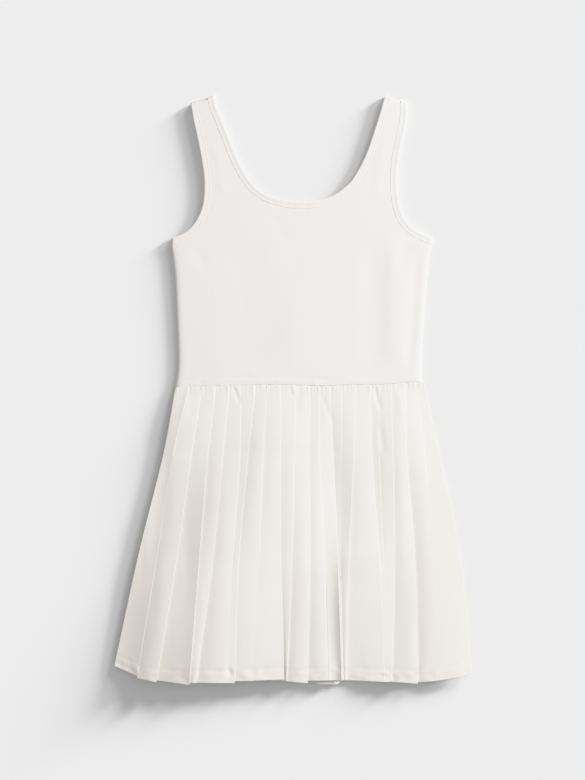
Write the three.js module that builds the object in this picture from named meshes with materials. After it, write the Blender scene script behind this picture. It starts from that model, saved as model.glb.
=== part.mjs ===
// A sleeveless tennis dress laid out flat, face up: a smooth knit tank bodice with bound neck and
// armholes, sewn at the waist to a knife-pleated skirt.
// Sizes are in millimetres. +X is to the right as the dress is seen, +Y runs from the hem to the
// shoulders and +Z is up, off the surface that it lies on. A "drop" is measured down the dress
// from the top of the shoulders, and "below" is measured down from the waist seam.
import * as THREE from 'three';

// Cloth and seams
const DRESS_LENGTH = 842.3;
const KNIT_WALL = 1.2;
const PLEAT_WALL = 1.0;
const SEAM_GAP = 0.3;
const BINDING_WIDTH = 10;
const BINDING_THICK = 2.6;
const BACK_NECK_DEEPER = 3;

// Heights of the cloth's middle above the surface
const BACK_PANEL_Z = KNIT_WALL / 2;
const BACK_BINDING_Z = BINDING_THICK / 2;
const FRONT_BINDING_Z = BACK_BINDING_Z + BINDING_THICK + SEAM_GAP;
const SIDE_SEAM_Z = BACK_PANEL_Z + KNIT_WALL + SEAM_GAP;
const WAIST_BAND_Z = 5.5;
const WAIST_BAND_HEIGHT = 11;
const LAYER = PLEAT_WALL + SEAM_GAP;
const BACK_SKIRT_BASE_Z = PLEAT_WALL / 2 + 2 * LAYER;
const FRONT_SKIRT_BASE_Z = BACK_SKIRT_BASE_Z + LAYER;

// Edge of the neck opening, from the left shoulder round the scoop to the right one
const NECK_EDGE = [
  { x: -112.5, drop: 2.1 }, { x: -108.3, drop: 18 }, { x: -100.6, drop: 36 },
  { x: -89.7, drop: 64 }, { x: -78.2, drop: 92 }, { x: -61.6, drop: 121 },
  { x: -47.0, drop: 136 }, { x: -31.0, drop: 144.5 }, { x: -10.0, drop: 150.5 },
  { x: 11.0, drop: 152.3 }, { x: 32.0, drop: 151 }, { x: 53.0, drop: 145.3 },
  { x: 67.6, drop: 137 }, { x: 82.0, drop: 124.5 }, { x: 93.8, drop: 106.5 },
  { x: 105.1, drop: 84 }, { x: 113.3, drop: 61 }, { x: 121.4, drop: 36 },
  { x: 126.8, drop: 18 }, { x: 131.2, drop: 2.1 },
];

// Edges of the two armholes, from the shoulder to the underarm
const ARMHOLE_EDGE = [
  { drop: 14, left: -145.4, right: 163.6 },
  { drop: 36, left: -141.7, right: 162.5 },
  { drop: 62, left: -136.0, right: 157.2 },
  { drop: 92, left: -130.2, right: 151.4 },
  { drop: 121, left: -126.4, right: 149.0 },
  { drop: 150, left: -127.4, right: 151.3 },
  { drop: 166, left: -131.4, right: 155.2 },
  { drop: 179, left: -137.8, right: 161.2 },
  { drop: 190, left: -146.4, right: 172.0 },
  { drop: 198, left: -157.5, right: 185.5 },
  { drop: 203, left: -170.2, right: 196.8 },
];

// The fold of each shoulder: the direction that it runs in, away from the neck
const SHOULDER = { run: 24, fall: 11 };

// Side seams of the bodice, from the underarm to the waist
const SIDE_SEAM = [
  { drop: 205, left: -173.4, right: 199.2 },
  { drop: 228, left: -171.6, right: 195.6 },
  { drop: 262, left: -168.0, right: 191.6 },
  { drop: 307, left: -165.9, right: 188.2 },
  { drop: 371, left: -163.5, right: 184.0 },
  { drop: 396, left: -164.3, right: 184.0 },
  { drop: 418, left: -168.0, right: 186.4 },
];

// The waist seam, which dips a little towards the left
const WAIST_SEAM = [
  { x: -168, drop: 418.0 }, { x: -132, drop: 415.4 }, { x: -75, drop: 414.6 },
  { x: -18, drop: 413.7 }, { x: 39, drop: 415.4 }, { x: 82, drop: 414.0 },
  { x: 125, drop: 413.3 }, { x: 154, drop: 411.1 }, { x: 187, drop: 409.0 },
];

// Where the front panel curves down to the side seams, underarms and shoulders
const SIDE_ROUND = 24;
const UNDERARM_ROUND = { start: 208, end: 232 };
const SHOULDER_ROUND = { start: 4, end: 16 };

// Soft folds of the front panel: a ridge, or a trough where rise is negative, from top to bottom
const FRONT_FOLDS = [
  { topX: -70, topDrop: 190, footX: -60, footDrop: 400, width: 34, rise: -0.9 },
  { topX: 6, topDrop: 270, footX: 8, footDrop: 408, width: 30, rise: 0.7 },
  { topX: 112, topDrop: 200, footX: 118, footDrop: 404, width: 13, rise: -1.1 },
  { topX: 144, topDrop: 190, footX: 148, footDrop: 404, width: 14, rise: 1.3 },
  { topX: 180, topDrop: 214, footX: 166, footDrop: 396, width: 9, rise: -0.9 },
  { topX: -151, topDrop: 212, footX: -120, footDrop: 250, width: 9, rise: -0.8 },
];

// Edges of the skirt, and how far below the waist seam each column lies
const SKIRT_STATION = { waist: 0, upper: 100, lower: 250, hem: 424 };
const SKIRT_LEFT = { waist: -167.9, upper: -184.8, lower: -219.6, hem: -255.1 };
const SKIRT_RIGHT = { waist: 186.3, upper: 208.4, lower: 238.8, hem: 255.1 };

// Pleats of the front: where each folded edge lies at four levels, how deep its tuck goes under
// at the waist and at the hem (negative where the fold has opened), and how high it stands
const FRONT_PLEATS = [
  { waist: -147.6, upper: -173.3, lower: -216.6, hem: -252.0, tuck: 9, tuckHem: -33, lift: 5 },
  { waist: -129.0, upper: -144.7, lower: -165.5, hem: -194.1, tuck: 14, tuckHem: 20, lift: 4 },
  { waist: -109.7, upper: -121.1, lower: -133.3, hem: -146.9, tuck: 15, tuckHem: 26, lift: 8 },
  { waist: -90.4, upper: -99.7, lower: -114.0, hem: -137.6, tuck: 15, tuckHem: 20, lift: 4 },
  { waist: -73.9, upper: -75.4, lower: -85.5, hem: -92.0, tuck: 14, tuckHem: 20, lift: 2 },
  { waist: -53.2, upper: -63.9, lower: -77.8, hem: -82.9, tuck: 16, tuckHem: 20, lift: 5 },
  { waist: -36.0, upper: -42.5, lower: -48.2, hem: -56.1, tuck: 14, tuckHem: 18, lift: 3 },
  { waist: -17.4, upper: -17.7, lower: -17.4, hem: -12.4, tuck: 15, tuckHem: 22, lift: 7 },
  { waist: 4.7, upper: 2.6, lower: -1.0, hem: -8.1, tuck: 16, tuckHem: 20, lift: 3 },
  { waist: 24.0, upper: 23.3, lower: 24.3, hem: 21.2, tuck: 15, tuckHem: 20, lift: 6 },
  { waist: 36.9, upper: 38.3, lower: 44.8, hem: 53.3, tuck: 10, tuckHem: 18, lift: 3 },
  { waist: 51.9, upper: 57.6, lower: 62.6, hem: 68.4, tuck: 12, tuckHem: 20, lift: 7 },
  { waist: 69.1, upper: 69.3, lower: 70.9, hem: 72.6, tuck: 13, tuckHem: 20, lift: 1 },
  { waist: 89.1, upper: 87.7, lower: 81.9, hem: 76.8, tuck: 14, tuckHem: 20, lift: 4 },
  { waist: 110.5, upper: 112.7, lower: 124.1, hem: 131.0, tuck: 16, tuckHem: 20, lift: 2 },
  { waist: 123.4, upper: 123.4, lower: 130.6, hem: 135.6, tuck: 9, tuckHem: 20, lift: 1 },
  { waist: 140.6, upper: 142.7, lower: 145.6, hem: 141.3, tuck: 13, tuckHem: 20, lift: 5 },
  { waist: 160.6, upper: 162.7, lower: 174.5, hem: 178.5, tuck: 15, tuckHem: 20, lift: 6 },
  { waist: 175.4, upper: 187.8, lower: 198.5, hem: 201.3, tuck: 11, tuckHem: -44, lift: 4 },
];

// How a face leaves the folded edge before it: where it starts up, the run of its step over the
// layers below, how far that step stays from the next inner fold, and the steepest climb of the
// face above the flat stack
const FACE_START = 1.4;
const STEP_RUN = 0.7;
const FOLD_CLEAR = LAYER;
const STEEPEST_RISE = 0.45;
const NARROW_FACE = 0.2;

// Pleats lift away from the flat stack and open soon below the seam, at these powers of the way down
const LIFT_POWER = 0.7;
const OPEN_POWER = 0.6;

// Pleats of the back are pressed flat and as many, with small uneven steps between them
const BACK_PLEAT_COUNT = 19;
const BACK_PLEAT_TUCK = 14;
const BACK_PLEAT_UNEVEN = 0.16;
const BACK_SKIRT_INSET = 2;

// Line of the hem as the front skirt hangs from one side seam to the other
const HEM = [
  { x: -255, drop: 815.6 }, { x: -233, drop: 826.5 }, { x: -209, drop: 834.8 },
  { x: -190, drop: 836.8 }, { x: -150, drop: 840.4 }, { x: -104, drop: 838.7 },
  { x: -61, drop: 836.6 }, { x: -18, drop: 834.3 }, { x: 10, drop: 838.5 },
  { x: 53, drop: 835.9 }, { x: 96, drop: 838.0 }, { x: 140, drop: 836.8 },
  { x: 161, drop: 840.0 }, { x: 196, drop: 838.6 }, { x: 225, drop: 832.3 },
  { x: 255, drop: 825.6 },
];
const BACK_HEM_SHORTER = 3;
const BACK_HEM_PEEK = { x: 49, half: 14, fade: 10, drop: DRESS_LENGTH };

// How finely each surface is divided
const FRONT_ROWS = [0, 26, 62, 110, 172, 246, 334, 424];
const BACK_ROWS = [0, 70, 190, 310, 424];
const ARMHOLE_STEPS = 16;
const SIDE_STEPS = 7;
const NECK_STRAP_STEPS = 11;
const STRAP_COLUMNS = 5;
const SCOOP_COLUMNS = 14;
const SCOOP_SHARE = { start: 0.335, end: 0.665 };
const FOLD_STEPS = 4;

const clamp = THREE.MathUtils.clamp;
const lerp = THREE.MathUtils.lerp;
const ease = (value, start, end) => THREE.MathUtils.smoothstep(value, start, end);

// Reads one column of a table at a place along another, on a smooth curve through its rows
function readTable(rows, along, place, column) {
  const last = rows.length - 1;
  const at = clamp(place, rows[0][along], rows[last][along]);
  let low = 0;
  while (low < last - 1 && rows[low + 1][along] < at) low += 1;
  const slope = (index) => {
    const before = rows[Math.max(index - 1, 0)];
    const after = rows[Math.min(index + 1, last)];
    return (after[column] - before[column]) / (after[along] - before[along]);
  };
  const span = rows[low + 1][along] - rows[low][along];
  const t = (at - rows[low][along]) / span;
  const from = rows[low][column];
  const to = rows[low + 1][column];
  const bend = t * (1 - t) * span;
  return lerp(from, to, t * t * (3 - 2 * t))
    + bend * ((1 - t) * slope(low) - t * slope(low + 1));
}

// Reads the four levels of a skirt line at a distance below the waist seam
function readLine(line, below) {
  const rows = Object.keys(SKIRT_STATION).map((level) => (
    { below: SKIRT_STATION[level], x: line[level] }));
  return readTable(rows, 'below', below, 'x');
}

const heightOf = (drop) => DRESS_LENGTH / 2 - drop;

// Makes a closed wall from an outer and an inner point for each place, and the quads between them
function closedWall(outer, inner, quads) {
  const triangles = [];
  const directed = new Map();
  for (const [a, b, c, d] of quads) {
    triangles.push([a, b, c], [a, c, d]);
    for (const [from, to] of [[a, b], [b, c], [c, d], [d, a]]) directed.set(`${from},${to}`, [from, to]);
  }
  const faces = [...triangles];
  const under = outer.length;
  for (const [a, b, c] of triangles) faces.push([a + under, c + under, b + under]);
  for (const [from, to] of directed.values()) {
    if (directed.has(`${to},${from}`)) continue;
    faces.push([from, from + under, to + under], [from, to + under, to]);
  }
  return meshGeometry([...outer, ...inner], faces);
}

// Joins rings of points, each to the next and the last to the first, into one closed band
function closedBand(rings) {
  const size = rings[0].length;
  const faces = [];
  rings.forEach((ring, index) => {
    const here = index * size;
    const next = ((index + 1) % rings.length) * size;
    for (let side = 0; side < size; side += 1) {
      const other = (side + 1) % size;
      faces.push([here + side, next + side, next + other], [here + side, next + other, here + other]);
    }
  });
  return meshGeometry(rings.flat(), faces);
}

// Puts points and triangles into a geometry, turned so that its faces point out
function meshGeometry(points, faces) {
  let volume = 0;
  for (const [a, b, c] of faces) {
    volume += points[a].dot(new THREE.Vector3().crossVectors(points[b], points[c]));
  }
  const order = volume > 0 ? faces : faces.map(([a, b, c]) => [a, c, b]);
  const geometry = new THREE.BufferGeometry();
  const positions = points.flatMap((point) => [point.x, point.y, point.z]);
  geometry.setAttribute('position', new THREE.Float32BufferAttribute(positions, 3));
  geometry.setIndex(order.flat());
  geometry.computeVertexNormals();
  return geometry;
}

// The neck edge as a curve in the plane; the back neck is cut a little deeper
function neckCurve(deeper) {
  const deepest = Math.max(...NECK_EDGE.map((row) => row.drop));
  const points = NECK_EDGE.map(({ x, drop }) => (
    new THREE.Vector3(x, heightOf(drop * (1 + deeper / deepest)), 0)));
  return new THREE.CatmullRomCurve3(points, false, 'centripetal');
}

function armholeCurve(side) {
  const points = ARMHOLE_EDGE.map((row) => new THREE.Vector3(row[side], heightOf(row.drop), 0));
  return new THREE.CatmullRomCurve3(points, false, 'centripetal');
}

// Shares of the neck curve at which both its binding and the panel beside it have their points
const NECK_SHARES = [
  ...steps(0, SCOOP_SHARE.start, NECK_STRAP_STEPS).slice(0, -1),
  ...steps(SCOOP_SHARE.start, SCOOP_SHARE.end, SCOOP_COLUMNS),
  ...steps(SCOOP_SHARE.end, 1, NECK_STRAP_STEPS).slice(1),
];
const ARMHOLE_SHARES = steps(0, 1, ARMHOLE_STEPS);

function steps(from, to, count) {
  return Array.from({ length: count + 1 }, (_, index) => lerp(from, to, index / count));
}

// A point beside a curve, at a distance to the right of the way that the curve runs
function beside(curve, share, distance) {
  const point = curve.getPointAt(share);
  const tangent = curve.getTangentAt(share);
  return new THREE.Vector3(point.x + tangent.y * distance, point.y - tangent.x * distance, 0);
}

// Height of the middle of the front panel: low at the side seams and shoulders, level with the
// bindings, raised over the waist seam's turnings, with its soft folds
function frontPanelHeight(x, drop) {
  const left = readTable(SIDE_SEAM, 'drop', drop, 'left');
  const right = readTable(SIDE_SEAM, 'drop', drop, 'right');
  const fromSide = Math.min(x - left, right - x);
  const body = lerp(SIDE_SEAM_Z, FRONT_BINDING_Z, ease(fromSide, 0, SIDE_ROUND));
  const level = lerp(FRONT_BINDING_Z, body, ease(drop, UNDERARM_ROUND.start, UNDERARM_ROUND.end));
  const shoulder = lerp(SIDE_SEAM_Z, level, ease(drop, SHOULDER_ROUND.start, SHOULDER_ROUND.end));
  const waist = readTable(WAIST_SEAM, 'x', x, 'drop');
  const band = ease(drop, waist - 2 * WAIST_BAND_HEIGHT, waist - WAIST_BAND_HEIGHT / 2);
  let folds = 0;
  for (const fold of FRONT_FOLDS) {
    const along = (drop - fold.topDrop) / (fold.footDrop - fold.topDrop);
    const centre = lerp(fold.topX, fold.footX, along);
    const across = (x - centre) / fold.width;
    const fade = ease(along, 0, 0.25) * (1 - ease(along, 0.8, 1));
    folds += fold.rise * fade * Math.exp(-across * across);
  }
  return lerp(shoulder, WAIST_BAND_Z, band * ease(fromSide, 0, SIDE_ROUND / 2)) + folds;
}

// Points of a bodice panel between its bindings, side seams and waist, as rows of quads. Each
// strap is a strip from the armhole to the neck, which goes on down to the waist, and the middle
// strip hangs from the scoop of the neck.
function bodicePanel(neck, heightAt) {
  const places = new Map();
  const flat = [];
  const quads = [];
  const indexOf = (point) => {
    const key = `${point.x.toFixed(4)},${point.y.toFixed(4)}`;
    if (!places.has(key)) {
      places.set(key, flat.length);
      flat.push(point);
    }
    return places.get(key);
  };
  const addGrid = (rows) => {
    for (let row = 0; row + 1 < rows.length; row += 1) {
      for (let column = 0; column + 1 < rows[row].length; column += 1) {
        quads.push([rows[row][column], rows[row + 1][column],
          rows[row + 1][column + 1], rows[row][column + 1]].map(indexOf));
      }
    }
  };
  const inset = BINDING_WIDTH + SEAM_GAP;
  const waistAt = (x) => heightOf(readTable(WAIST_SEAM, 'x', x, 'drop') - SEAM_GAP / 2);
  const lowerSteps = ARMHOLE_STEPS + SIDE_STEPS - NECK_STRAP_STEPS;
  const sideFoot = {
    left: WAIST_SEAM[0].drop - SEAM_GAP / 2,
    right: WAIST_SEAM[WAIST_SEAM.length - 1].drop - SEAM_GAP / 2,
  };
  const neckPoint = (index) => beside(neck, NECK_SHARES[index], inset);
  const downFrom = (top, step) => (
    new THREE.Vector3(top.x, lerp(top.y, waistAt(top.x), step / lowerSteps), 0));
  const strap = (side) => {
    const curve = armholeCurve(side);
    const away = side === 'left' ? -inset : inset;
    const neckIndex = (row) => (side === 'left' ? row : NECK_SHARES.length - 1 - row);
    const underarm = ARMHOLE_EDGE[ARMHOLE_EDGE.length - 1].drop + BINDING_WIDTH + 3 * SEAM_GAP;
    const outerPoint = (row) => {
      if (row < ARMHOLE_STEPS) return beside(curve, ARMHOLE_SHARES[row], away);
      const drop = lerp(underarm, sideFoot[side], (row - ARMHOLE_STEPS) / SIDE_STEPS);
      return new THREE.Vector3(readTable(SIDE_SEAM, 'drop', drop, side), heightOf(drop), 0);
    };
    const innerPoint = (row) => {
      if (row <= NECK_STRAP_STEPS) return neckPoint(neckIndex(row));
      return downFrom(neckPoint(neckIndex(NECK_STRAP_STEPS)), row - NECK_STRAP_STEPS);
    };
    const rows = [];
    for (let row = 0; row <= ARMHOLE_STEPS + SIDE_STEPS; row += 1) {
      const ends = [outerPoint(row), innerPoint(row)];
      if (side === 'right') ends.reverse();
      const points = [];
      for (let column = 0; column <= STRAP_COLUMNS; column += 1) {
        points.push(ends[0].clone().lerp(ends[1], column / STRAP_COLUMNS));
      }
      rows.push(points);
    }
    const lastRow = rows[rows.length - 1].map((point) => point.clone());
    rows.slice(ARMHOLE_STEPS + 1).forEach((points, row) => points.forEach((point, column) => {
      const foot = lastRow[column];
      point.y += (waistAt(foot.x) - foot.y) * (row + 1) / SIDE_STEPS;
    }));
    addGrid(rows);
  };
  strap('left');
  strap('right');
  const middle = [];
  for (let row = 0; row <= lowerSteps; row += 1) {
    const points = [];
    for (let column = 0; column <= SCOOP_COLUMNS; column += 1) {
      points.push(downFrom(neckPoint(NECK_STRAP_STEPS + column), row));
    }
    middle.push(points);
  }
  addGrid(middle);
  const wallPoints = (offset) => flat.map((point) => {
    const middleHeight = heightAt(point.x, DRESS_LENGTH / 2 - point.y);
    return new THREE.Vector3(point.x, point.y, middleHeight + offset);
  });
  return closedWall(wallPoints(KNIT_WALL / 2), wallPoints(-KNIT_WALL / 2), quads);
}

// Section of a binding at one station: a flat strip with rounded edges, from the free edge to the
// edge that is sewn to the panel
function bindingSection(free, sewn, up) {
  const corners = [[0, 0], [0.1, 1], [0.9, 1], [1, 0], [0.9, -1], [0.1, -1]];
  return corners.map(([across, side]) => (
    free.clone().lerp(sewn, across).addScaledVector(up, side * BINDING_THICK / 2)));
}

// Sections round the fold where a binding turns from the front to the back, or back again
function bindingFold(free, sewn, out, fromFront) {
  const middle = (FRONT_BINDING_Z + BACK_BINDING_Z) / 2;
  const radius = (FRONT_BINDING_Z - BACK_BINDING_Z) / 2;
  const sections = [];
  for (let step = 0; step <= FOLD_STEPS; step += 1) {
    const turn = (fromFront ? step : FOLD_STEPS - step) / FOLD_STEPS * Math.PI;
    const up = new THREE.Vector3(0, 0, Math.cos(turn)).addScaledVector(out, Math.sin(turn));
    const move = up.clone().multiplyScalar(radius).setZ(middle + up.z * radius);
    sections.push(bindingSection(free.clone().add(move), sewn.clone().add(move), up));
  }
  return sections;
}

// A binding that runs along a front edge, folds over, runs back along a back edge and folds again
function bindingRing({ front, back, shares, side, startFold, endFold }) {
  const along = (curve, share, z, facing) => {
    const free = beside(curve, share, 0).setZ(z);
    const sewn = beside(curve, share, side * BINDING_WIDTH).setZ(z);
    return bindingSection(free, sewn, new THREE.Vector3(0, 0, facing));
  };
  const between = shares.slice(1, -1);
  const fold = (share, direction, fromFront) => {
    const free = beside(front, share, 0);
    const out = new THREE.Vector3(-direction.y, direction.x, 0);
    const sewn = free.clone().addScaledVector(direction, BINDING_WIDTH);
    const outward = front.getTangentAt(share).multiplyScalar(share > 0.5 ? 1 : -1);
    if (out.dot(outward) < 0) out.negate();
    return bindingFold(free, sewn, out, fromFront);
  };
  return closedBand([
    ...between.map((share) => along(front, share, FRONT_BINDING_Z, 1)),
    ...fold(1, endFold, true),
    ...between.slice().reverse().map((share) => along(back, share, BACK_BINDING_Z, -1)),
    ...fold(0, startFold, false),
  ]);
}

// Middle line of a pleated skirt across one level. Each pleat rises to its folded edge, turns
// under by its tuck, and turns again into the start of the next, three layers deep. A tuck below
// nothing has opened, so that its underside shows between the folded edge and the valley.
function pleatLine(left, right, pleats) {
  const turn = LAYER / 2;
  const startOf = (width) => Math.min(FACE_START, NARROW_FACE * width);
  const line = [{ x: left, z: 0 }];
  let rise = left;
  for (const { edge, tuck, lift } of pleats) {
    const width = edge - rise;
    const under = Math.min(tuck, width - FACE_START - STEP_RUN - FOLD_CLEAR);
    const folded = clamp(under / (2 * turn), -1, 1);
    const inFold = (folded + 1) / 2;
    const top = 2 * LAYER + clamp(STEEPEST_RISE * (width - 2 * FACE_START), 0, lift);
    const first = rise + startOf(width);
    const deep = lerp(lerp(first, edge - turn, 0.5), edge - under - FOLD_CLEAR, inFold);
    const share = (deep - first) / (edge - first);
    const deepRise = Math.max(2 * LAYER * inFold, top * share);
    line.push({ x: first, z: 0 });
    line.push({ x: deep, z: deepRise });
    line.push({ x: lerp(deep, edge - turn, 0.5), z: lerp(deepRise, top, 0.55) });
    line.push({ x: edge - turn, z: top });
    line.push({ x: edge, z: top - turn });
    line.push({ x: edge - turn * folded, z: top - 2 * turn });
    line.push({ x: edge - under + turn * folded, z: 2 * turn });
    line.push({ x: edge - under, z: turn });
    line.push({ x: edge - under + turn, z: 0 });
    rise = Math.max(edge, edge - under);
  }
  const span = right - rise;
  line.push({ x: rise + startOf(span), z: 0 });
  line.push({ x: rise + span / 2, z: Math.min(LAYER, NARROW_FACE * span) });
  line.push({ x: right, z: 0 });
  return line;
}

// Moves a line of points sideways by a distance, keeping its corners square
function offsetLine(line, distance) {
  return line.map((point, index) => {
    const before = line[Math.max(index - 1, 0)];
    const after = line[Math.min(index + 1, line.length - 1)];
    const normalOf = (from, to) => new THREE.Vector2(from.z - to.z, to.x - from.x).normalize();
    const first = normalOf(index > 0 ? before : point, index > 0 ? point : after);
    const second = normalOf(index < line.length - 1 ? point : before,
      index < line.length - 1 ? after : point);
    const sum = first.clone().add(second);
    const scale = distance * Math.min(2 / Math.max(sum.lengthSq(), 1e-6), 1.5 / sum.length());
    return { x: point.x + sum.x * scale, z: point.z + sum.y * scale };
  });
}

// A pleated skirt panel: its middle line at each level, given a wall, set between seam and hem
function pleatedPanel({ rows, edges, pleatsAt, hemAt, place }) {
  const lines = rows.map((below) => pleatLine(edges.left(below), edges.right(below), pleatsAt(below)));
  const columns = lines[0].length;
  const sides = [1, -1].map((side) => lines.map((line) => offsetLine(line, side * PLEAT_WALL / 2)));
  const pointsOf = (offsets) => offsets.flatMap((line, row) => line.map((point, column) => {
    const share = rows[row] / SKIRT_STATION.hem;
    const seam = readTable(WAIST_SEAM, 'x', place(lines[0][column]).x, 'drop') + SEAM_GAP / 2;
    const hem = hemAt(place(lines[rows.length - 1][column]).x);
    const placed = place(point);
    return new THREE.Vector3(placed.x, heightOf(lerp(seam, hem, share)), placed.z);
  }));
  const quads = [];
  for (let row = 0; row + 1 < rows.length; row += 1) {
    for (let column = 0; column + 1 < columns; column += 1) {
      const corner = row * columns + column;
      quads.push([corner, corner + columns, corner + columns + 1, corner + 1]);
    }
  }
  return closedWall(pointsOf(sides[0]), pointsOf(sides[1]), quads);
}

function skirtFront() {
  return pleatedPanel({
    rows: FRONT_ROWS,
    edges: { left: (below) => readLine(SKIRT_LEFT, below), right: (below) => readLine(SKIRT_RIGHT, below) },
    pleatsAt: (below) => FRONT_PLEATS.map((pleat) => ({
      edge: readLine(pleat, below),
      tuck: lerp(pleat.tuck, pleat.tuckHem, Math.pow(below / SKIRT_STATION.hem, OPEN_POWER)),
      lift: pleat.lift * Math.pow(below / SKIRT_STATION.hem, LIFT_POWER),
    })),
    hemAt: (x) => readTable(HEM, 'x', x, 'drop'),
    place: ({ x, z }) => ({ x, z: z + FRONT_SKIRT_BASE_Z }),
  });
}

// The back is pleated the same way round the body, so seen from above it is turned face down
function skirtBack() {
  const left = (below) => -readLine(SKIRT_RIGHT, below) + BACK_SKIRT_INSET;
  const right = (below) => -readLine(SKIRT_LEFT, below) - BACK_SKIRT_INSET;
  const shareOf = (pleat) => (pleat + BACK_PLEAT_UNEVEN * Math.sin(2.3 * pleat)) / (BACK_PLEAT_COUNT + 1);
  return pleatedPanel({
    rows: BACK_ROWS,
    edges: { left, right },
    pleatsAt: (below) => Array.from({ length: BACK_PLEAT_COUNT }, (_, index) => ({
      edge: lerp(left(below), right(below), shareOf(index + 1)),
      tuck: BACK_PLEAT_TUCK,
      lift: 0,
    })),
    hemAt: (x) => {
      const { half, fade, drop } = BACK_HEM_PEEK;
      const away = Math.abs(x - BACK_HEM_PEEK.x);
      const hem = readTable(HEM, 'x', x, 'drop') - BACK_HEM_SHORTER;
      return lerp(hem, drop, 1 - ease(away, half, half + fade));
    },
    place: ({ x, z }) => ({ x: -x, z: BACK_SKIRT_BASE_Z - z }),
  });
}

const knit = () => new THREE.MeshStandardMaterial({ color: 0xefebe8, roughness: 0.85, metalness: 0 });
const pleatedCloth = () => new THREE.MeshStandardMaterial({ color: 0xf1eee8, roughness: 0.75, metalness: 0 });

const dress = new THREE.Group();

function addPiece(name, geometry, material) {
  const piece = new THREE.Mesh(geometry, material);
  piece.name = name;
  dress.add(piece);
}

const shoulderLeft = new THREE.Vector3(-SHOULDER.run, -SHOULDER.fall, 0).normalize();
const shoulderRight = new THREE.Vector3(SHOULDER.run, -SHOULDER.fall, 0).normalize();
const downSeam = new THREE.Vector3(0, -1, 0);

addPiece('bodice_front', bodicePanel(neckCurve(0), frontPanelHeight), knit());
addPiece('bodice_back', bodicePanel(neckCurve(BACK_NECK_DEEPER), () => BACK_PANEL_Z), knit());
addPiece('skirt_front', skirtFront(), pleatedCloth());
addPiece('skirt_back', skirtBack(), pleatedCloth());
addPiece('neck_binding', bindingRing({
  front: neckCurve(0),
  back: neckCurve(BACK_NECK_DEEPER),
  shares: NECK_SHARES,
  side: 1,
  startFold: shoulderLeft,
  endFold: shoulderRight,
}), knit());
for (const [side, shoulder] of [['left', shoulderLeft], ['right', shoulderRight]]) {
  addPiece(`armhole_binding_${side}`, bindingRing({
    front: armholeCurve(side),
    back: armholeCurve(side),
    shares: ARMHOLE_SHARES,
    side: side === 'left' ? -1 : 1,
    startFold: shoulder.clone().negate(),
    endFold: downSeam,
  }), knit());
}

// The frame's origin is under the middle of the whole dress
const box = new THREE.Box3().setFromObject(dress);
const middle = box.getCenter(new THREE.Vector3());
dress.position.set(-middle.x, -middle.y, -box.min.z);
dress.updateMatrixWorld(true);

export default dress;
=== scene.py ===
"""Dresses a tennis dress laid out flat: knit bodice, knife-pleated skirt, bound edges and sewing.

Tables and sizes are in millimetres, as on a pattern. X runs to the right as the dress is seen, Y
from the hem up to the shoulders and Z up off the floor. A drop is measured down the dress from the
top of its shoulders, and "below" is measured down from the waist seam. Lengths become metres only
where a mesh is made.
"""

import logging
import math
from dataclasses import dataclass
from enum import Enum
from typing import Callable, Mapping, Sequence, Union

import bpy
import numpy as np
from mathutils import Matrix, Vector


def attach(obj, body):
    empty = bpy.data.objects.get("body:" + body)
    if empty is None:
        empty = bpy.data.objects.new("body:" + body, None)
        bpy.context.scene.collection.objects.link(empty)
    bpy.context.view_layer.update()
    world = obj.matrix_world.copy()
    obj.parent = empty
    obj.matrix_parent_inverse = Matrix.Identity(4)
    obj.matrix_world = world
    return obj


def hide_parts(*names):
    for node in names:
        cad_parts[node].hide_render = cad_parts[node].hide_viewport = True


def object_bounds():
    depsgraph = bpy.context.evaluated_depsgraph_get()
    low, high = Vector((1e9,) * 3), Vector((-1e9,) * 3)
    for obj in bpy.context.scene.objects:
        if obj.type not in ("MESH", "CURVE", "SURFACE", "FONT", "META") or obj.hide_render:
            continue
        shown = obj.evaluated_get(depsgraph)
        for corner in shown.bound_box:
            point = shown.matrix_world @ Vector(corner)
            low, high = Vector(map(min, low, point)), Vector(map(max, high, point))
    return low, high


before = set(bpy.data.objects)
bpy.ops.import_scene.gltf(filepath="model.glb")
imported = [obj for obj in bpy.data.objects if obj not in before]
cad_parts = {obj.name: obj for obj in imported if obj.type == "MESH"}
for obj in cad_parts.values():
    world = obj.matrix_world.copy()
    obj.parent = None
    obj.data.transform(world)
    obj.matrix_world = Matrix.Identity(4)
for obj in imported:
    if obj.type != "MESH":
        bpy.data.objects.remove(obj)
CAD_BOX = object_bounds()

logging.basicConfig(level=logging.INFO, format="%(message)s")
LOG = logging.getLogger("dress")

MM = 0.001
DRESS_LENGTH = (CAD_BOX[1][1] - CAD_BOX[0][1]) / MM

# Heights of the cloth's middle above the floor, as the solids have them
KNIT_WALL = 1.0
PLEAT_WALL = 0.26
SEAM_GAP = 0.3
BINDING_WIDTH = 10.0
BINDING_THICK = 2.6
BACK_NECK_DEEPER = 3.0
BACK_PANEL_Z = 0.5
BACK_BINDING_Z = BINDING_THICK / 2
FRONT_BINDING_Z = BACK_BINDING_Z + BINDING_THICK + SEAM_GAP
SIDE_SEAM_Z = 1.95
LAYER = 0.34
BACK_LAYER = 0.5
BACK_SKIRT_BASE_Z = PLEAT_WALL / 2 + 4 * BACK_LAYER + SEAM_GAP
FRONT_SKIRT_BASE_Z = 4.6
SKIRT_LENGTH = 424.0


class Slot(Enum):
    """The record's material slots."""

    KNIT = "knit"
    PLEATED = "pleated_cloth"
    BINDING = "binding"


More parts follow.
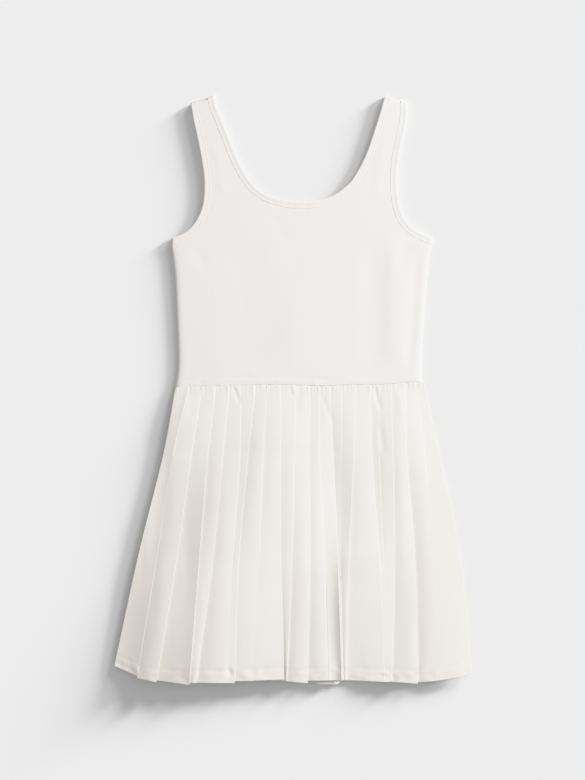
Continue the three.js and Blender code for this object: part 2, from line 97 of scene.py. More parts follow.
@dataclass(frozen=True)
class Table:
    """A short table of the pattern with named columns.

    Reading it between rows follows a cubic Hermite curve, whose slope at a row is the slope
    between its two neighbours.
    """

    columns: tuple[str, ...]
    rows: tuple[tuple[float, ...], ...]

    def column(self, name: str) -> np.ndarray:
        """All of one column's values."""
        return np.array([row[self.columns.index(name)] for row in self.rows], dtype=float)

    def read(self, along: str, places: np.ndarray, name: str) -> np.ndarray:
        """Reads one column at places along another.

        Args:
            along: the column that the places are measured in, which rises from row to row.
            places: where to read.
            name: the column to read.

        Returns:
            The values there, held at the table's ends.
        """
        return smooth_curve(self.column(along), self.column(name), places)


def smooth_curve(stations: np.ndarray, values: np.ndarray, places: np.ndarray) -> np.ndarray:
    """Reads a cubic Hermite curve through values given at stations.

    Between two stations, t runs from 0 to 1 and the value is the smooth step from one to the
    other plus t(1-t) times the span times ((1-t) first slope - t last slope).

    Args:
        stations: rising places of the values.
        values: the values there, or one row of values for each station.
        places: where to read, held within the stations.

    Returns:
        The values at the places.
    """
    at = np.clip(np.asarray(places, dtype=float), stations[0], stations[-1])
    last = len(stations) - 1
    low = np.clip(np.searchsorted(stations, at, side="right") - 1, 0, last - 1)
    before = np.maximum(np.arange(last + 1) - 1, 0)
    after = np.minimum(np.arange(last + 1) + 1, last)
    slopes = (values[after] - values[before]) / (stations[after] - stations[before])
    span = stations[low + 1] - stations[low]
    t = (at - stations[low]) / span
    step = t * t * (3.0 - 2.0 * t)
    bend = t * (1.0 - t) * span
    return mix(values[low], values[low + 1], step) + bend * (
        (1.0 - t) * slopes[low] - t * slopes[low + 1]
    )


def mix(first: np.ndarray, last: np.ndarray, share: np.ndarray) -> np.ndarray:
    """Goes from first to last as share goes from 0 to 1."""
    return first + (last - first) * share


def ease(value: np.ndarray, start: float, end: float) -> np.ndarray:
    """Smooth step: 0 at start and 1 at end, level at both."""
    t = np.clip((value - start) / (end - start), 0.0, 1.0)
    return t * t * (3.0 - 2.0 * t)


def spread(count: int, gather: float) -> np.ndarray:
    """Shares from 0 to 1 that lie closer together at both ends.

    The formula is t - gather sin(2 pi t) / (2 pi), so the steps at the ends are (1 - gather)
    times the even ones.

    Args:
        count: number of steps.
        gather: from 0, even, to just under 1.

    Returns:
        count + 1 shares.
    """
    t = np.linspace(0.0, 1.0, count + 1)
    return t - gather * np.sin(2.0 * math.pi * t) / (2.0 * math.pi)


def height_of(drop: np.ndarray) -> np.ndarray:
    """Y of a drop."""
    return DRESS_LENGTH / 2.0 - drop


# Edge of the neck opening, from the left shoulder round the scoop to the right one
NECK_EDGE = Table(
    ("x", "drop"),
    (
        (-112.5, 2.1), (-108.3, 18.0), (-100.6, 36.0), (-89.7, 64.0), (-78.2, 92.0),
        (-61.6, 121.0), (-47.0, 136.0), (-31.0, 144.5), (-10.0, 150.5), (11.0, 152.3),
        (32.0, 151.0), (53.0, 145.3), (67.6, 137.0), (82.0, 124.5), (93.8, 106.5),
        (105.1, 84.0), (113.3, 61.0), (121.4, 36.0), (126.8, 18.0), (131.2, 2.1),
    ),
)

# Edges of the two armholes, from the shoulder to the underarm
ARMHOLE_EDGE = Table(
    ("drop", "left", "right"),
    (
        (14.0, -145.4, 163.6), (36.0, -141.7, 162.5), (62.0, -136.0, 157.2),
        (92.0, -130.2, 151.4), (121.0, -126.4, 149.0), (150.0, -127.4, 151.3),
        (166.0, -131.4, 155.2), (179.0, -137.8, 161.2), (190.0, -146.4, 172.0),
        (198.0, -157.5, 185.5), (203.0, -170.2, 196.8),
    ),
)

# The fold of each shoulder: the direction that it runs in, away from the neck
SHOULDER_RUN = 24.0
SHOULDER_FALL = 11.0

# Side seams of the bodice, from the underarm to the waist
SIDE_SEAM = Table(
    ("drop", "left", "right"),
    (
        (205.0, -173.4, 199.2), (228.0, -171.6, 195.6), (262.0, -168.0, 191.6),
        (307.0, -165.9, 188.2), (371.0, -163.5, 184.0), (396.0, -164.3, 184.0),
        (418.0, -168.0, 186.4),
    ),
)

# The waist seam, which dips a little towards the left
WAIST_SEAM = Table(
    ("x", "drop"),
    (
        (-168.0, 418.0), (-132.0, 415.4), (-75.0, 414.6), (-18.0, 413.7), (39.0, 415.4),
        (82.0, 414.0), (125.0, 413.3), (154.0, 411.1), (187.0, 409.0),
    ),
)

# Soft folds and creases of the bodice's front, pressed in along a line from top to foot: a ridge,
# or a trough where rise is negative
FRONT_FOLDS = Table(
    ("top_x", "top_drop", "foot_x", "foot_drop", "width", "rise"),
    (
        (-70.0, 190.0, -60.0, 400.0, 34.0, -0.9),
        (6.0, 270.0, 8.0, 408.0, 30.0, 0.7),
        (112.0, 200.0, 118.0, 404.0, 18.0, -0.9),
        (144.0, 190.0, 148.0, 404.0, 15.0, 1.0),
        (180.0, 214.0, 166.0, 396.0, 8.0, -0.8),
        (-151.0, 212.0, -120.0, 250.0, 9.0, -0.35),
        (168.0, 210.0, 150.0, 246.0, 8.0, -0.4),
        (-28.0, 168.0, -6.0, 214.0, 12.0, -0.3),
        (58.0, 172.0, 40.0, 220.0, 12.0, 0.3),
        (-112.0, 60.0, -96.0, 150.0, 7.0, 0.3),
        (130.0, 70.0, 118.0, 150.0, 7.0, 0.3),
    ),
)

# Edges of the skirt at four distances below the waist seam
SKIRT_EDGES = Table(
    ("below", "left", "right"),
    ((0.0, -167.9, 186.3), (100.0, -184.8, 208.4), (250.0, -219.6, 238.8), (424.0, -255.1, 255.1)),
)

# Pleats of the front: where each folded edge lies at the four distances, and how low the hem hangs
# where the face starts and at the folded edge
PLEAT_EDGES = Table(
    ("waist", "upper", "lower", "hem", "hem_start", "hem_end"),
    (
        (-147.6, -171.0, -194.0, -222.0, 815.6, 829.0), (-129.0, -144.7, -165.5, -194.1, 832.3, 837.3),
        (-109.7, -121.1, -133.3, -146.9, 835.1, 840.8), (-90.4, -99.7, -114.0, -137.6, 838.7, 838.7),
        (-73.9, -75.4, -85.5, -92.0, 838.7, 839.0), (-53.2, -63.9, -77.0, -82.9, 839.0, 839.1),
        (-36.0, -42.5, -48.2, -56.1, 836.6, 836.0), (-17.4, -17.7, -17.4, -12.4, 835.8, 834.2),
        (4.7, 2.6, -1.0, -8.1, 836.0, 836.5), (24.0, 23.3, 24.3, 21.2, 837.5, 839.4),
        (36.9, 38.3, 45.5, 51.0, 836.6, 835.9), (51.9, 57.6, 64.5, 70.0, 835.9, 835.9),
        (69.1, 69.3, 68.5, 71.5, 835.9, 835.9), (89.1, 87.0, 80.0, 77.5, 835.9, 835.9),
        (110.5, 112.7, 124.1, 131.0, 835.9, 838.0), (123.4, 123.4, 130.6, 135.6, 838.0, 838.0),
        (140.6, 142.7, 145.0, 141.3, 838.0, 836.6), (160.6, 162.7, 174.5, 178.5, 838.0, 840.1),
        (175.4, 187.8, 198.5, 201.3, 838.7, 837.0),
    ),
)

# How deep each pleat's tuck goes under at the same four distances, negative where the fold opens
PLEAT_TUCKS = Table(
    ("waist", "upper", "lower", "hem"),
    (
        (9, 0.2, -0.3, -0.3), (14, 14, 12, 8), (15, 15, 20, 22), (15, 15, 16, 16), (14, 10, -0.3, -0.3),
        (16, 15, 14, 14), (14, 14, -0.3, -0.3), (15, 16, 18, 20), (16, 16, 16, 16), (15, 16, 17, 18),
        (10, 10, 1, -0.3), (12, 12, 10, 8), (13, -0.3, -0.3, -0.3), (14, 13, 12, 14), (16, 16, 1, -0.3),
        (9, 2, -0.3, -0.3), (13, 13, 14, 14), (15, 16, 17, 18), (11, 4, -16, -44),
    ),
)

# How far the part of each face that shows climbs towards its folded edge, and how far it bulges
# over a straight climb. The first station is the waist seam and the last the hem. The rows give
# the three between them and the climb at the hem, and Skirt.hem_bulge gives the hem's bulge as a
# share of the lower one
FORM_STATIONS = (0.0, 61.0, 190.0, 305.0, 424.0)
WAIST_CLIMB = 0.6
WAIST_BULGE = 0.06
PLEAT_FORMS = Table(
    ("climb_upper", "bulge_upper", "climb_middle", "bulge_middle", "climb_lower", "bulge_lower",
     "climb_hem"),
    (
        (2.3, 0.0, 1.6, -0.5, 4.7, -0.5, 5.8), (0.6, 0.3, 2.7, 0.45, 2.9, 0.8, 2.8),
        (0.7, 0.3, 4.6, -0.3, 5.6, -0.7, 8.5), (0.85, 0.3, 1.9, 0.7, 0.5, 0.5, 0.8),
        (1.0, 0.2, 0.3, 0.9, 0.8, 1.2, 2.3), (1.1, 0.15, 0.2, 0.0, -0.3, 0.0, -0.3),
        (1.85, 0.25, 0.4, 0.9, -0.6, 0.5, 0.6), (0.8, 0.3, -1.4, 0.5, -2.0, 0.05, -1.4),
        (0.05, 0.28, -0.3, 0.5, 1.2, 0.4, 1.6), (-1.1, 0.12, -1.2, 0.8, 1.3, 1.0, 2.2),
        (0.4, 0.1, -0.8, 0.55, 1.0, 0.9, 2.4), (-0.45, 0.1, -2.4, 0.0, 3.3, -1.1, 2.3),
        (1.8, 0.1, 0.45, 0.0, 0.3, 0.0, 0.2), (1.55, 0.3, 2.1, 0.0, 1.2, 0.4, 0.5),
        (-0.5, 0.25, -0.5, 0.95, 2.2, 0.4, 5.7), (1.35, -0.1, 0.1, 0.0, 0.0, 0.0, 0.0),
        (2.0, 0.3, 0.95, 0.2, -0.1, 0.0, 0.0), (0.65, 0.38, 0.4, 1.0, 3.0, 0.9, 3.8),
        (-0.5, 0.25, 1.8, 0.7, 3.5, 0.6, 3.6),
    ),
)
LAST_CLIMB = (-0.1, -0.2, 1.6, 3.8)
SIDE_HEM = {"left": 815.6, "valley": 830.0, "right": 825.6}

# Hem of the back skirt: the front's line, a little shorter but for the stretch that shows
HEM = Table(
    ("x", "drop"),
    (
        (-255.0, 815.6), (-233.0, 826.5), (-209.0, 834.8), (-190.0, 836.8), (-150.0, 840.4),
        (-104.0, 838.7), (-61.0, 836.6), (-18.0, 834.3), (10.0, 838.5), (53.0, 835.9),
        (96.0, 838.0), (140.0, 836.8), (161.0, 840.0), (196.0, 838.6), (225.0, 832.3),
        (255.0, 825.6),
    ),
)

# Small tucks and creases of the skirt, pressed in from top to foot
SKIRT_FOLDS = Table(
    ("top_x", "top_drop", "foot_x", "foot_drop", "width", "rise"),
    (
        (-85.4, 415.0, -75.4, 441.0, 2.6, -0.75),
        (-6.7, 414.0, 0.5, 430.0, 3.0, -0.5),
        (40.5, 425.0, 57.6, 472.0, 3.5, -0.4),
        (116.3, 414.0, 124.8, 450.0, 3.2, -0.75),
        (124.8, 470.0, 131.0, 515.0, 4.5, -0.6),
        (-150.0, 420.0, -158.0, 470.0, 5.0, 0.5),
        (20.0, 418.0, 12.0, 450.0, 5.0, 0.5),
        (150.0, 416.0, 156.0, 462.0, 5.0, 0.5),
    ),
)


@dataclass
class Surface:
    """A piece of cloth before it is a mesh.

    Points are in millimetres, faces are quads of point numbers, and places are each point's
    place on the cloth itself, in millimetres, which the weave follows.
    """

    points: np.ndarray
    faces: np.ndarray
    places: np.ndarray

    def turned_out(self) -> "Surface":
        """Turns the faces of a closed surface outwards, by the sign of its volume."""
        a, b, c, d = (self.points[self.faces[:, corner]] for corner in range(4))
        volume = np.einsum("ij,ij->i", a, np.cross(b, c) + np.cross(c, d)).sum()
        if volume < 0:
            return Surface(self.points, self.faces[:, ::-1], self.places)
        return self


def grid_faces(rows: int, columns: int, closed: tuple[bool, bool] = (False, False)) -> np.ndarray:
    """Quads between neighbouring points of a grid.

    Args:
        rows: number of rows of points.
        columns: number of columns of points.
        closed: whether the rows and the columns run round.

    Returns:
        One row of four point numbers for each quad.
    """
    row = np.arange(rows if closed[0] else rows - 1)[:, None]
    column = np.arange(columns if closed[1] else columns - 1)[None, :]
    next_row = (row + 1) % rows
    next_column = (column + 1) % columns
    corners = (row * columns + column, next_row * columns + column,
               next_row * columns + next_column, row * columns + next_column)
    return np.stack([np.broadcast_to(part, corners[0].shape).ravel() for part in corners], axis=1)


def closed_wall(outer: np.ndarray, inner: np.ndarray, faces: np.ndarray,
                places: np.ndarray) -> Surface:
    """Makes a closed wall between an outer and an inner surface with the same faces.

    The inner faces are the outer ones turned round, and each edge that only one face uses gets
    a quad between the two surfaces.

    Args:
        outer: outer points.
        inner: inner points, in the same order.
        faces: quads of the outer points.
        places: each outer point's place on the cloth.

    Returns:
        The closed surface.
    """
    count = len(outer)
    starts = faces.ravel()
    ends = np.roll(faces, -1, axis=1).ravel()
    one_way = ~np.isin(starts * count + ends, ends * count + starts)
    starts = starts[one_way]
    ends = ends[one_way]
    rim = np.stack([starts, starts + count, ends + count, ends], axis=1)
    return Surface(
        np.concatenate([outer, inner]),
        np.concatenate([faces, faces[:, ::-1] + count, rim]),
        np.concatenate([places, places]),
    ).turned_out()


def welded(parts: Sequence[tuple[np.ndarray, np.ndarray]]) -> tuple[np.ndarray, np.ndarray]:
    """Joins grids of flat points that share points along their edges.

    Args:
        parts: points (x, y) and quads of each grid.

    Returns:
        The points, each once, and the quads between them.
    """
    starts = np.cumsum([0] + [len(points) for points, _ in parts[:-1]])
    points = np.concatenate([points for points, _ in parts])
    faces = np.concatenate([faces + start for (_, faces), start in zip(parts, starts)])
    _, first, number = np.unique(np.round(points, 4), axis=0, return_index=True, return_inverse=True)
    return points[first], number.ravel()[faces]


def line_folds(table: Table, x: np.ndarray, drop: np.ndarray) -> np.ndarray:
    """Height of soft folds along straight lines.

    Each fold is its rise times a bell across its line, exp(-(distance / width)^2), and eases in
    over the first quarter of its length and out over the last fifth.

    Args:
        table: the folds, with top and foot, width and rise.
        x: where to read.
        drop: where to read.

    Returns:
        The height that all folds add there.
    """
    height = np.zeros_like(x)
    for top_x, top_drop, foot_x, foot_drop, width, rise in table.rows:
        along = (drop - top_drop) / (foot_drop - top_drop)
        across = (x - mix(top_x, foot_x, along)) / width
        fade = ease(along, 0.0, 0.25) * (1.0 - ease(along, 0.8, 1.0))
        height += rise * fade * np.exp(-across * across)
    return height


@dataclass(frozen=True)
class Swells:
    """Uneven small swells and hollows: a sum of smooth bells at seeded random places.

    span is the lowest and highest x and the lowest and highest y of the places. size is a bell's
    mean width across x and across y, which varies by a third, and rise is the most that one bell
    adds or takes.
    """

    seed: int
    count: int
    span: tuple[float, float, float, float]
    size: tuple[float, float]
    rise: float
    uneven: tuple[float, float] = (0.67, 1.33)

    def height(self, x: np.ndarray, y: np.ndarray) -> np.ndarray:
        """The height that the bells add at x and y."""
        draw = np.random.default_rng(self.seed)
        low_x, high_x, low_y, high_y = self.span
        places = draw.uniform((low_x, low_y), (high_x, high_y), (self.count, 2))
        sizes = np.array(self.size) * draw.uniform(*self.uneven, (self.count, 2))
        rises = self.rise * draw.uniform(-1.0, 1.0, self.count)
        height = np.zeros_like(x)
        for (at_x, at_y), (wide, tall), bell in zip(places, sizes, rises):
            height += bell * np.exp(-((x - at_x) / wide) ** 2 - ((y - at_y) / tall) ** 2)
        return height


# Swells of the bodice over x and drop, of its back over x and Y, puckers over x and the distance
# above the waist seam or the hem, and swells of the skirt over x and the distance below the waist
BODICE_SWELLS = Swells(11, 60, (-165.0, 185.0, 210.0, 400.0), (16.0, 34.0), 0.22)
BACK_SWELLS = Swells(13, 50, (-165.0, 185.0, 0.0, 400.0), (22.0, 34.0), 0.12)
BAND_PUCKERS = Swells(12, 90, (-165.0, 185.0, 1.0, 15.0), (7.0, 2.2), 0.35)
HEM_PUCKERS = Swells(21, 130, (-255.0, 255.0, 3.0, 20.0), (5.5, 4.0), 0.65)
SKIRT_SWELLS = Swells(22, 60, (-240.0, 240.0, 20.0, 420.0), (9.0, 60.0), 0.3)


class EdgeCurve:
    """A bound edge of the pattern as a smooth curve, read by shares of its length.

    It is the centripetal Catmull-Rom curve through the points, sampled finely once.
    """

    SAMPLES = 40

    def __init__(self, points: np.ndarray) -> None:
        """Samples the curve.

        Args:
            points: the edge's points (x, y), in order.
        """
        ends = (2.0 * points[:1] - points[1:2], 2.0 * points[-1:] - points[-2:-1])
        full = np.concatenate([ends[0], points, ends[1]])
        p0, p1, p2, p3 = full[:-3], full[1:-2], full[2:-1], full[3:]
        d0, d1, d2 = (np.sqrt(np.linalg.norm(after - before, axis=1))[:, None]
                      for before, after in ((p0, p1), (p1, p2), (p2, p3)))
        slope1 = ((p1 - p0) / d0 - (p2 - p0) / (d0 + d1) + (p2 - p1) / d1) * d1
        slope2 = ((p2 - p1) / d1 - (p3 - p1) / (d1 + d2) + (p3 - p2) / d2) * d1
        t = np.linspace(0.0, 1.0, self.SAMPLES, endpoint=False)[None, :, None]
        p1, p2, slope1, slope2 = (part[:, None, :] for part in (p1, p2, slope1, slope2))
        bent = (p1 + slope1 * t + (3.0 * (p2 - p1) - 2.0 * slope1 - slope2) * t ** 2
                + (2.0 * (p1 - p2) + slope1 + slope2) * t ** 3)
        self.line = np.concatenate([bent.reshape(-1, 2), points[-1:]])
        steps = np.linalg.norm(np.diff(self.line, axis=0), axis=1)
        self.along = np.concatenate([[0.0], np.cumsum(steps)])
        self.length = float(self.along[-1])

    def at(self, shares: np.ndarray) -> np.ndarray:
        """Points (x, y) at shares of the length."""
        where = np.asarray(shares) * self.length
        return np.stack([np.interp(where, self.along, self.line[:, axis]) for axis in (0, 1)], axis=1)

    def towards(self, shares: np.ndarray) -> np.ndarray:
        """Unit directions (x, y) in which the curve runs at shares of the length."""
        reach = 1.0 / self.length
        shares = np.asarray(shares)
        run = self.at(np.minimum(shares + reach, 1.0)) - self.at(np.maximum(shares - reach, 0.0))
        return run / np.linalg.norm(run, axis=1, keepdims=True)

    def beside(self, shares: np.ndarray, distance: float) -> np.ndarray:
        """Points at a distance to the right of the way that the curve runs."""
        run = self.towards(shares)
        return self.at(shares) + distance * np.stack([run[:, 1], -run[:, 0]], axis=1)


def neck_curve(deeper: float) -> EdgeCurve:
    """The neck edge; the back's is cut deeper by a share of each drop."""
    drop = NECK_EDGE.column("drop")
    y = height_of(drop * (1.0 + deeper / drop.max()))
    return EdgeCurve(np.stack([NECK_EDGE.column("x"), y], axis=1))


def armhole_curve(side: str) -> EdgeCurve:
    """The edge of one armhole, from the shoulder to the underarm."""
    y = height_of(ARMHOLE_EDGE.column("drop"))
    return EdgeCurve(np.stack([ARMHOLE_EDGE.column(side), y], axis=1))


class Number:
    """A number that varies over a surface: a node's output, with Python's operators."""

    def __init__(self, shader: "Shader", socket: bpy.types.NodeSocket) -> None:
        """Wraps a socket.

        Args:
            shader: the node tree that it is in.
            socket: the output.
        """
        self.shader = shader
        self.socket = socket

    def _math(self, operation: str, *values: "Term") -> "Number":
        """Adds a Math node with an operation and its values."""
        settings = {"operation": operation}
        return self.shader.node("ShaderNodeMath", settings, dict(enumerate(values))).number(0)

    def __add__(self, other: "Term") -> "Number":
        """self + other."""
        return self._math("ADD", self, other)

    def __radd__(self, other: "Term") -> "Number":
        """other + self."""
        return self._math("ADD", other, self)

    def __sub__(self, other: "Term") -> "Number":
        """self - other."""
        return self._math("SUBTRACT", self, other)

    def __rsub__(self, other: "Term") -> "Number":
        """other - self."""
        return self._math("SUBTRACT", other, self)

    def __mul__(self, other: "Term") -> "Number":
        """self * other."""
        return self._math("MULTIPLY", self, other)

    def __rmul__(self, other: "Term") -> "Number":
        """other * self."""
        return self._math("MULTIPLY", other, self)

    def __abs__(self) -> "Number":
        """The absolute value."""
        return self._math("ABSOLUTE", self)

    def sine(self) -> "Number":
        """The sine of an angle in radians."""
        return self._math("SINE", self)

    def fraction(self) -> "Number":
        """The part after the decimal point."""
        return self._math("FRACT", self)


Term = Union[Number, float, int]


class Built:
    """A node that has been added, with its outputs."""

    def __init__(self, shader: "Shader", node: bpy.types.Node) -> None:
        """Wraps a node.

        Args:
            shader: the tree that it is in.
            node: the node.
        """
        self.shader = shader
        self.node = node

    def number(self, output: Union[int, str]) -> Number:
        """An output as a number or colour to work on."""
        return Number(self.shader, self.node.outputs[output])


class Shader:
    """The node tree of one material."""

    def __init__(self, name: str) -> None:
        """Starts a material with an empty tree.

        Args:
            name: the material's name.
        """
        self.material = bpy.data.materials.new(name)
        self.material.use_nodes = True
        self.tree = self.material.node_tree
        self.tree.nodes.clear()

    def node(self, kind: str, settings: Mapping[str, object],
             inputs: Mapping[Union[int, str], object]) -> Built:
        """Adds a node.

        Args:
            kind: its type, such as ShaderNodeBump.
            settings: its properties, set first.
            inputs: values or links of its sockets, by number or name.

        Returns:
            The node.
        """
        node = self.tree.nodes.new(kind)
        for name, value in settings.items():
            setattr(node, name, value)
        for key, value in inputs.items():
            if isinstance(value, Number):
                self.tree.links.new(value.socket, node.inputs[key])
            else:
                node.inputs[key].default_value = value
        return Built(self, node)

    def place(self, kind: str) -> tuple[Number, Number, Number]:
        """The surface's coordinates in millimetres, from Object or UV coordinates in metres."""
        coordinates = self.node("ShaderNodeTexCoord", {}, {}).number(kind)
        parts = self.node("ShaderNodeSeparateXYZ", {}, {0: coordinates})
        return tuple(parts.number(axis) * (1.0 / MM) for axis in range(3))

    def noise(self, kind: str, size: float, detail: float) -> Number:
        """Noise from 0 to 1 whose largest spots are about size millimetres across."""
        coordinates = self.node("ShaderNodeTexCoord", {}, {}).number(kind)
        inputs = {"Vector": coordinates, "Scale": 1.0 / (size * MM), "Detail": detail}
        return self.node("ShaderNodeTexNoise", {}, inputs).number(0)

    def blend(self, share: Term, first: Sequence[float], last: Sequence[float]) -> Number:
        """A colour between two, by a share."""
        inputs = {0: share, 6: (*first, 1.0), 7: (*last, 1.0)}
        return self.node("ShaderNodeMix", {"data_type": "RGBA"}, inputs).number(2)

    def finish(self, colour: Number, roughness: Term, height: Number, depth: float,
               constants: Mapping[str, object]) -> bpy.types.Material:
        """Closes the tree with the surface shader.

        Args:
            colour: base colour.
            roughness: roughness.
            height: relief from 0 to 1.
            depth: what 1 of the relief is, in millimetres.
            constants: other sockets of the surface shader that are the same all over.

        Returns:
            The material.
        """
        bump = self.node("ShaderNodeBump", {}, {"Height": height, "Distance": depth * MM,
                                                "Strength": 1.0})
        inputs = {"Base Color": colour, "Roughness": roughness, "Normal": bump.number(0), **constants}
        surface = self.node("ShaderNodeBsdfPrincipled", {}, inputs)
        self.node("ShaderNodeOutputMaterial", {}, {"Surface": surface.number(0)})
        return self.material


def linear(red: float, green: float, blue: float) -> tuple[float, float, float]:
    """Turns a screen colour from 0 to 255 into linear light."""
    def one(value: float) -> float:
        """One channel by the sRGB curve."""
        share = value / 255.0
        return share / 12.92 if share <= 0.04045 else ((share + 0.055) / 1.055) ** 2.4
    return one(red), one(green), one(blue)


@dataclass(frozen=True)
class KnitFinish:
    """Smooth heavy jersey: fine upright wales of small V stitches, with a slight nap."""

    name: str = "knit"
    pale: tuple[float, float, float] = linear(241, 237, 234)
    deep: tuple[float, float, float] = linear(236, 232, 229)
    wale: float = 0.85
    course: float = 0.62
    depth: float = 0.05
    sheen: float = 0.12
    wander_size: float = 9.0
    nap_size: float = 0.5
    patch_size: float = 38.0
    fleck_size: float = 1.4
    least_rough: float = 0.8

    def material(self) -> bpy.types.Material:
        """Builds the finish.

        Each wale is |sin(pi x / wale)|, and its stitches lean: sin(2 pi (y / course + lean)),
        where lean rises from the wale's middle to its sides.

        Returns:
            The material.
        """
        shader = Shader(self.name)
        x, y, _ = shader.place("Object")
        wander = shader.noise("Object", self.wander_size, 2.0) * 0.5
        across = x * (1.0 / self.wale) + wander
        rib = abs((across * math.pi).sine())
        lean = abs(across.fraction() - 0.5) * 0.9
        stitch = ((y * (1.0 / self.course) + lean) * (2.0 * math.pi)).sine() * 0.25 + 0.5
        nap = shader.noise("Object", self.nap_size, 3.0)
        height = rib * 0.55 + stitch * rib * 0.6 + nap * 0.6
        patches = shader.noise("Object", self.patch_size, 4.0)
        tone = patches * 0.6 + shader.noise("Object", self.fleck_size, 3.0) * 0.4
        colour = shader.blend(tone, self.deep, self.pale)
        roughness = nap * 0.1 + self.least_rough
        return shader.finish(colour, roughness, height, self.depth,
                             {"Sheen Weight": self.sheen, "Sheen Roughness": 0.5,
                              "Specular IOR Level": 0.25})


@dataclass(frozen=True)
class WovenFinish:
    """Fine plain weave of the pleats, a little warmer and smoother than the knit."""

    name: str = "pleated_cloth"
    pale: tuple[float, float, float] = linear(243, 239, 233)
    deep: tuple[float, float, float] = linear(238, 233, 226)
    pitch: float = 0.42
    depth: float = 0.03
    sheen: float = 0.08
    slub_size: float = 2.2
    fine_size: float = 0.35
    patch_size: float = 46.0
    least_rough: float = 0.62

    def material(self) -> bpy.types.Material:
        """Builds the finish.

        The weave is sin(pi u / pitch) sin(pi v / pitch) on the cloth's own places, so that it
        turns with every pleat, with slubs from noise.

        Returns:
            The material.
        """
        shader = Shader(self.name)
        u, v, _ = shader.place("UV")
        turn = math.pi / self.pitch
        weave = (u * turn).sine() * (v * turn).sine()
        slub = shader.noise("UV", self.slub_size, 4.0)
        fine = shader.noise("UV", self.fine_size, 2.0)
        height = weave * 0.3 + slub * 0.5 + fine * 0.4
        tone = shader.noise("UV", self.patch_size, 4.0) * 0.6 + slub * 0.4
        colour = shader.blend(tone, self.deep, self.pale)
        roughness = fine * 0.1 + self.least_rough
        return shader.finish(colour, roughness, height, self.depth,
                             {"Sheen Weight": self.sheen, "Sheen Roughness": 0.4,
                              "Specular IOR Level": 0.35})


@dataclass(frozen=True)
class ThreadFinish:
    """Sewing thread: two twisted strands with a soft shine."""

    name: str = "thread"
    pale: tuple[float, float, float] = linear(244, 241, 238)
    deep: tuple[float, float, float] = linear(232, 228, 224)
    twist: float = 0.5

    def material(self) -> bpy.types.Material:
        """Builds the finish: slanting bands sin(2 pi (x + y + z) / twist)."""
        shader = Shader(self.name)
        x, y, z = shader.place("Object")
        strand = ((x + y + z) * (2.0 * math.pi / self.twist)).sine() * 0.5 + 0.5
        colour = shader.blend(strand, self.deep, self.pale)
        return shader.finish(colour, 0.5, strand, 0.06, {"Specular IOR Level": 0.4})


@dataclass(frozen=True)
class FloorFinish:
    """Plain pale floor with a faint grain."""

    name: str = "floor"
    pale: tuple[float, float, float] = linear(238, 238, 238)
    deep: tuple[float, float, float] = linear(236, 236, 236)
    grain_size: float = 240.0

    def material(self) -> bpy.types.Material:
        """Builds the finish from noise alone."""
        shader = Shader(self.name)
        grain = shader.noise("Object", self.grain_size, 3.0)
        colour = shader.blend(grain, self.deep, self.pale)
        return shader.finish(colour, 0.9, grain, 0.02, {"Specular IOR Level": 0.1})


class Workshop:
    """Turns surfaces into pieces of the dress and reports each."""

    def __init__(self) -> None:
        """Makes the finishes once, for all pieces."""
        self.knit = KnitFinish().material()
        self.woven = WovenFinish().material()
        self.thread = ThreadFinish().material()
        self.pieces: list[bpy.types.Object] = []

    def mesh_object(self, name: str, surface: Surface, finish: bpy.types.Material) -> bpy.types.Object:
        """Puts a surface into a new object, in metres, smooth shaded.

        Args:
            name: the object's name.
            surface: the surface.
            finish: its material.

        Returns:
            The object.
        """
        mesh = bpy.data.meshes.new(name)
        corners = np.ascontiguousarray(surface.faces, dtype=np.int32).ravel()
        mesh.vertices.add(len(surface.points))
        mesh.vertices.foreach_set("co", (surface.points * MM).astype(np.float32).ravel())
        mesh.loops.add(len(corners))
        mesh.loops.foreach_set("vertex_index", corners)
        mesh.polygons.add(len(surface.faces))
        mesh.polygons.foreach_set("loop_start", np.arange(0, len(corners), 4, dtype=np.int32))
        mesh.update(calc_edges=True)
        mesh.polygons.foreach_set("use_smooth", np.ones(len(surface.faces), dtype=bool))
        layer = mesh.uv_layers.new(name="cloth")
        layer.data.foreach_set("uv", (surface.places[corners] * MM).astype(np.float32).ravel())
        mesh.materials.append(finish)
        mesh.validate()
        made = bpy.data.objects.new(name, mesh)
        bpy.context.scene.collection.objects.link(made)
        return made

    def piece(self, name: str, surface: Surface, finish: bpy.types.Material, slot: Slot,
              replaced: Sequence[str] = ()) -> bpy.types.Object:
        """Adds a piece of the dress, which rides on its one body.

        Args:
            name: the piece's name.
            surface: its closed surface.
            finish: its material.
            slot: the record's material slot; not used.
            replaced: the solids that it stands for.

        Returns:
            The object.
        """
        made = self.mesh_object(name, surface, finish)
        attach(made, "root")
        if replaced:
            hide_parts(*replaced)
        self.pieces.append(made)
        low = surface.points.min(axis=0)
        high = surface.points.max(axis=0)
        LOG.info("%s: %d faces, from %s to %s mm", name, len(surface.faces),
                 np.round(low, 1), np.round(high, 1))
        return made


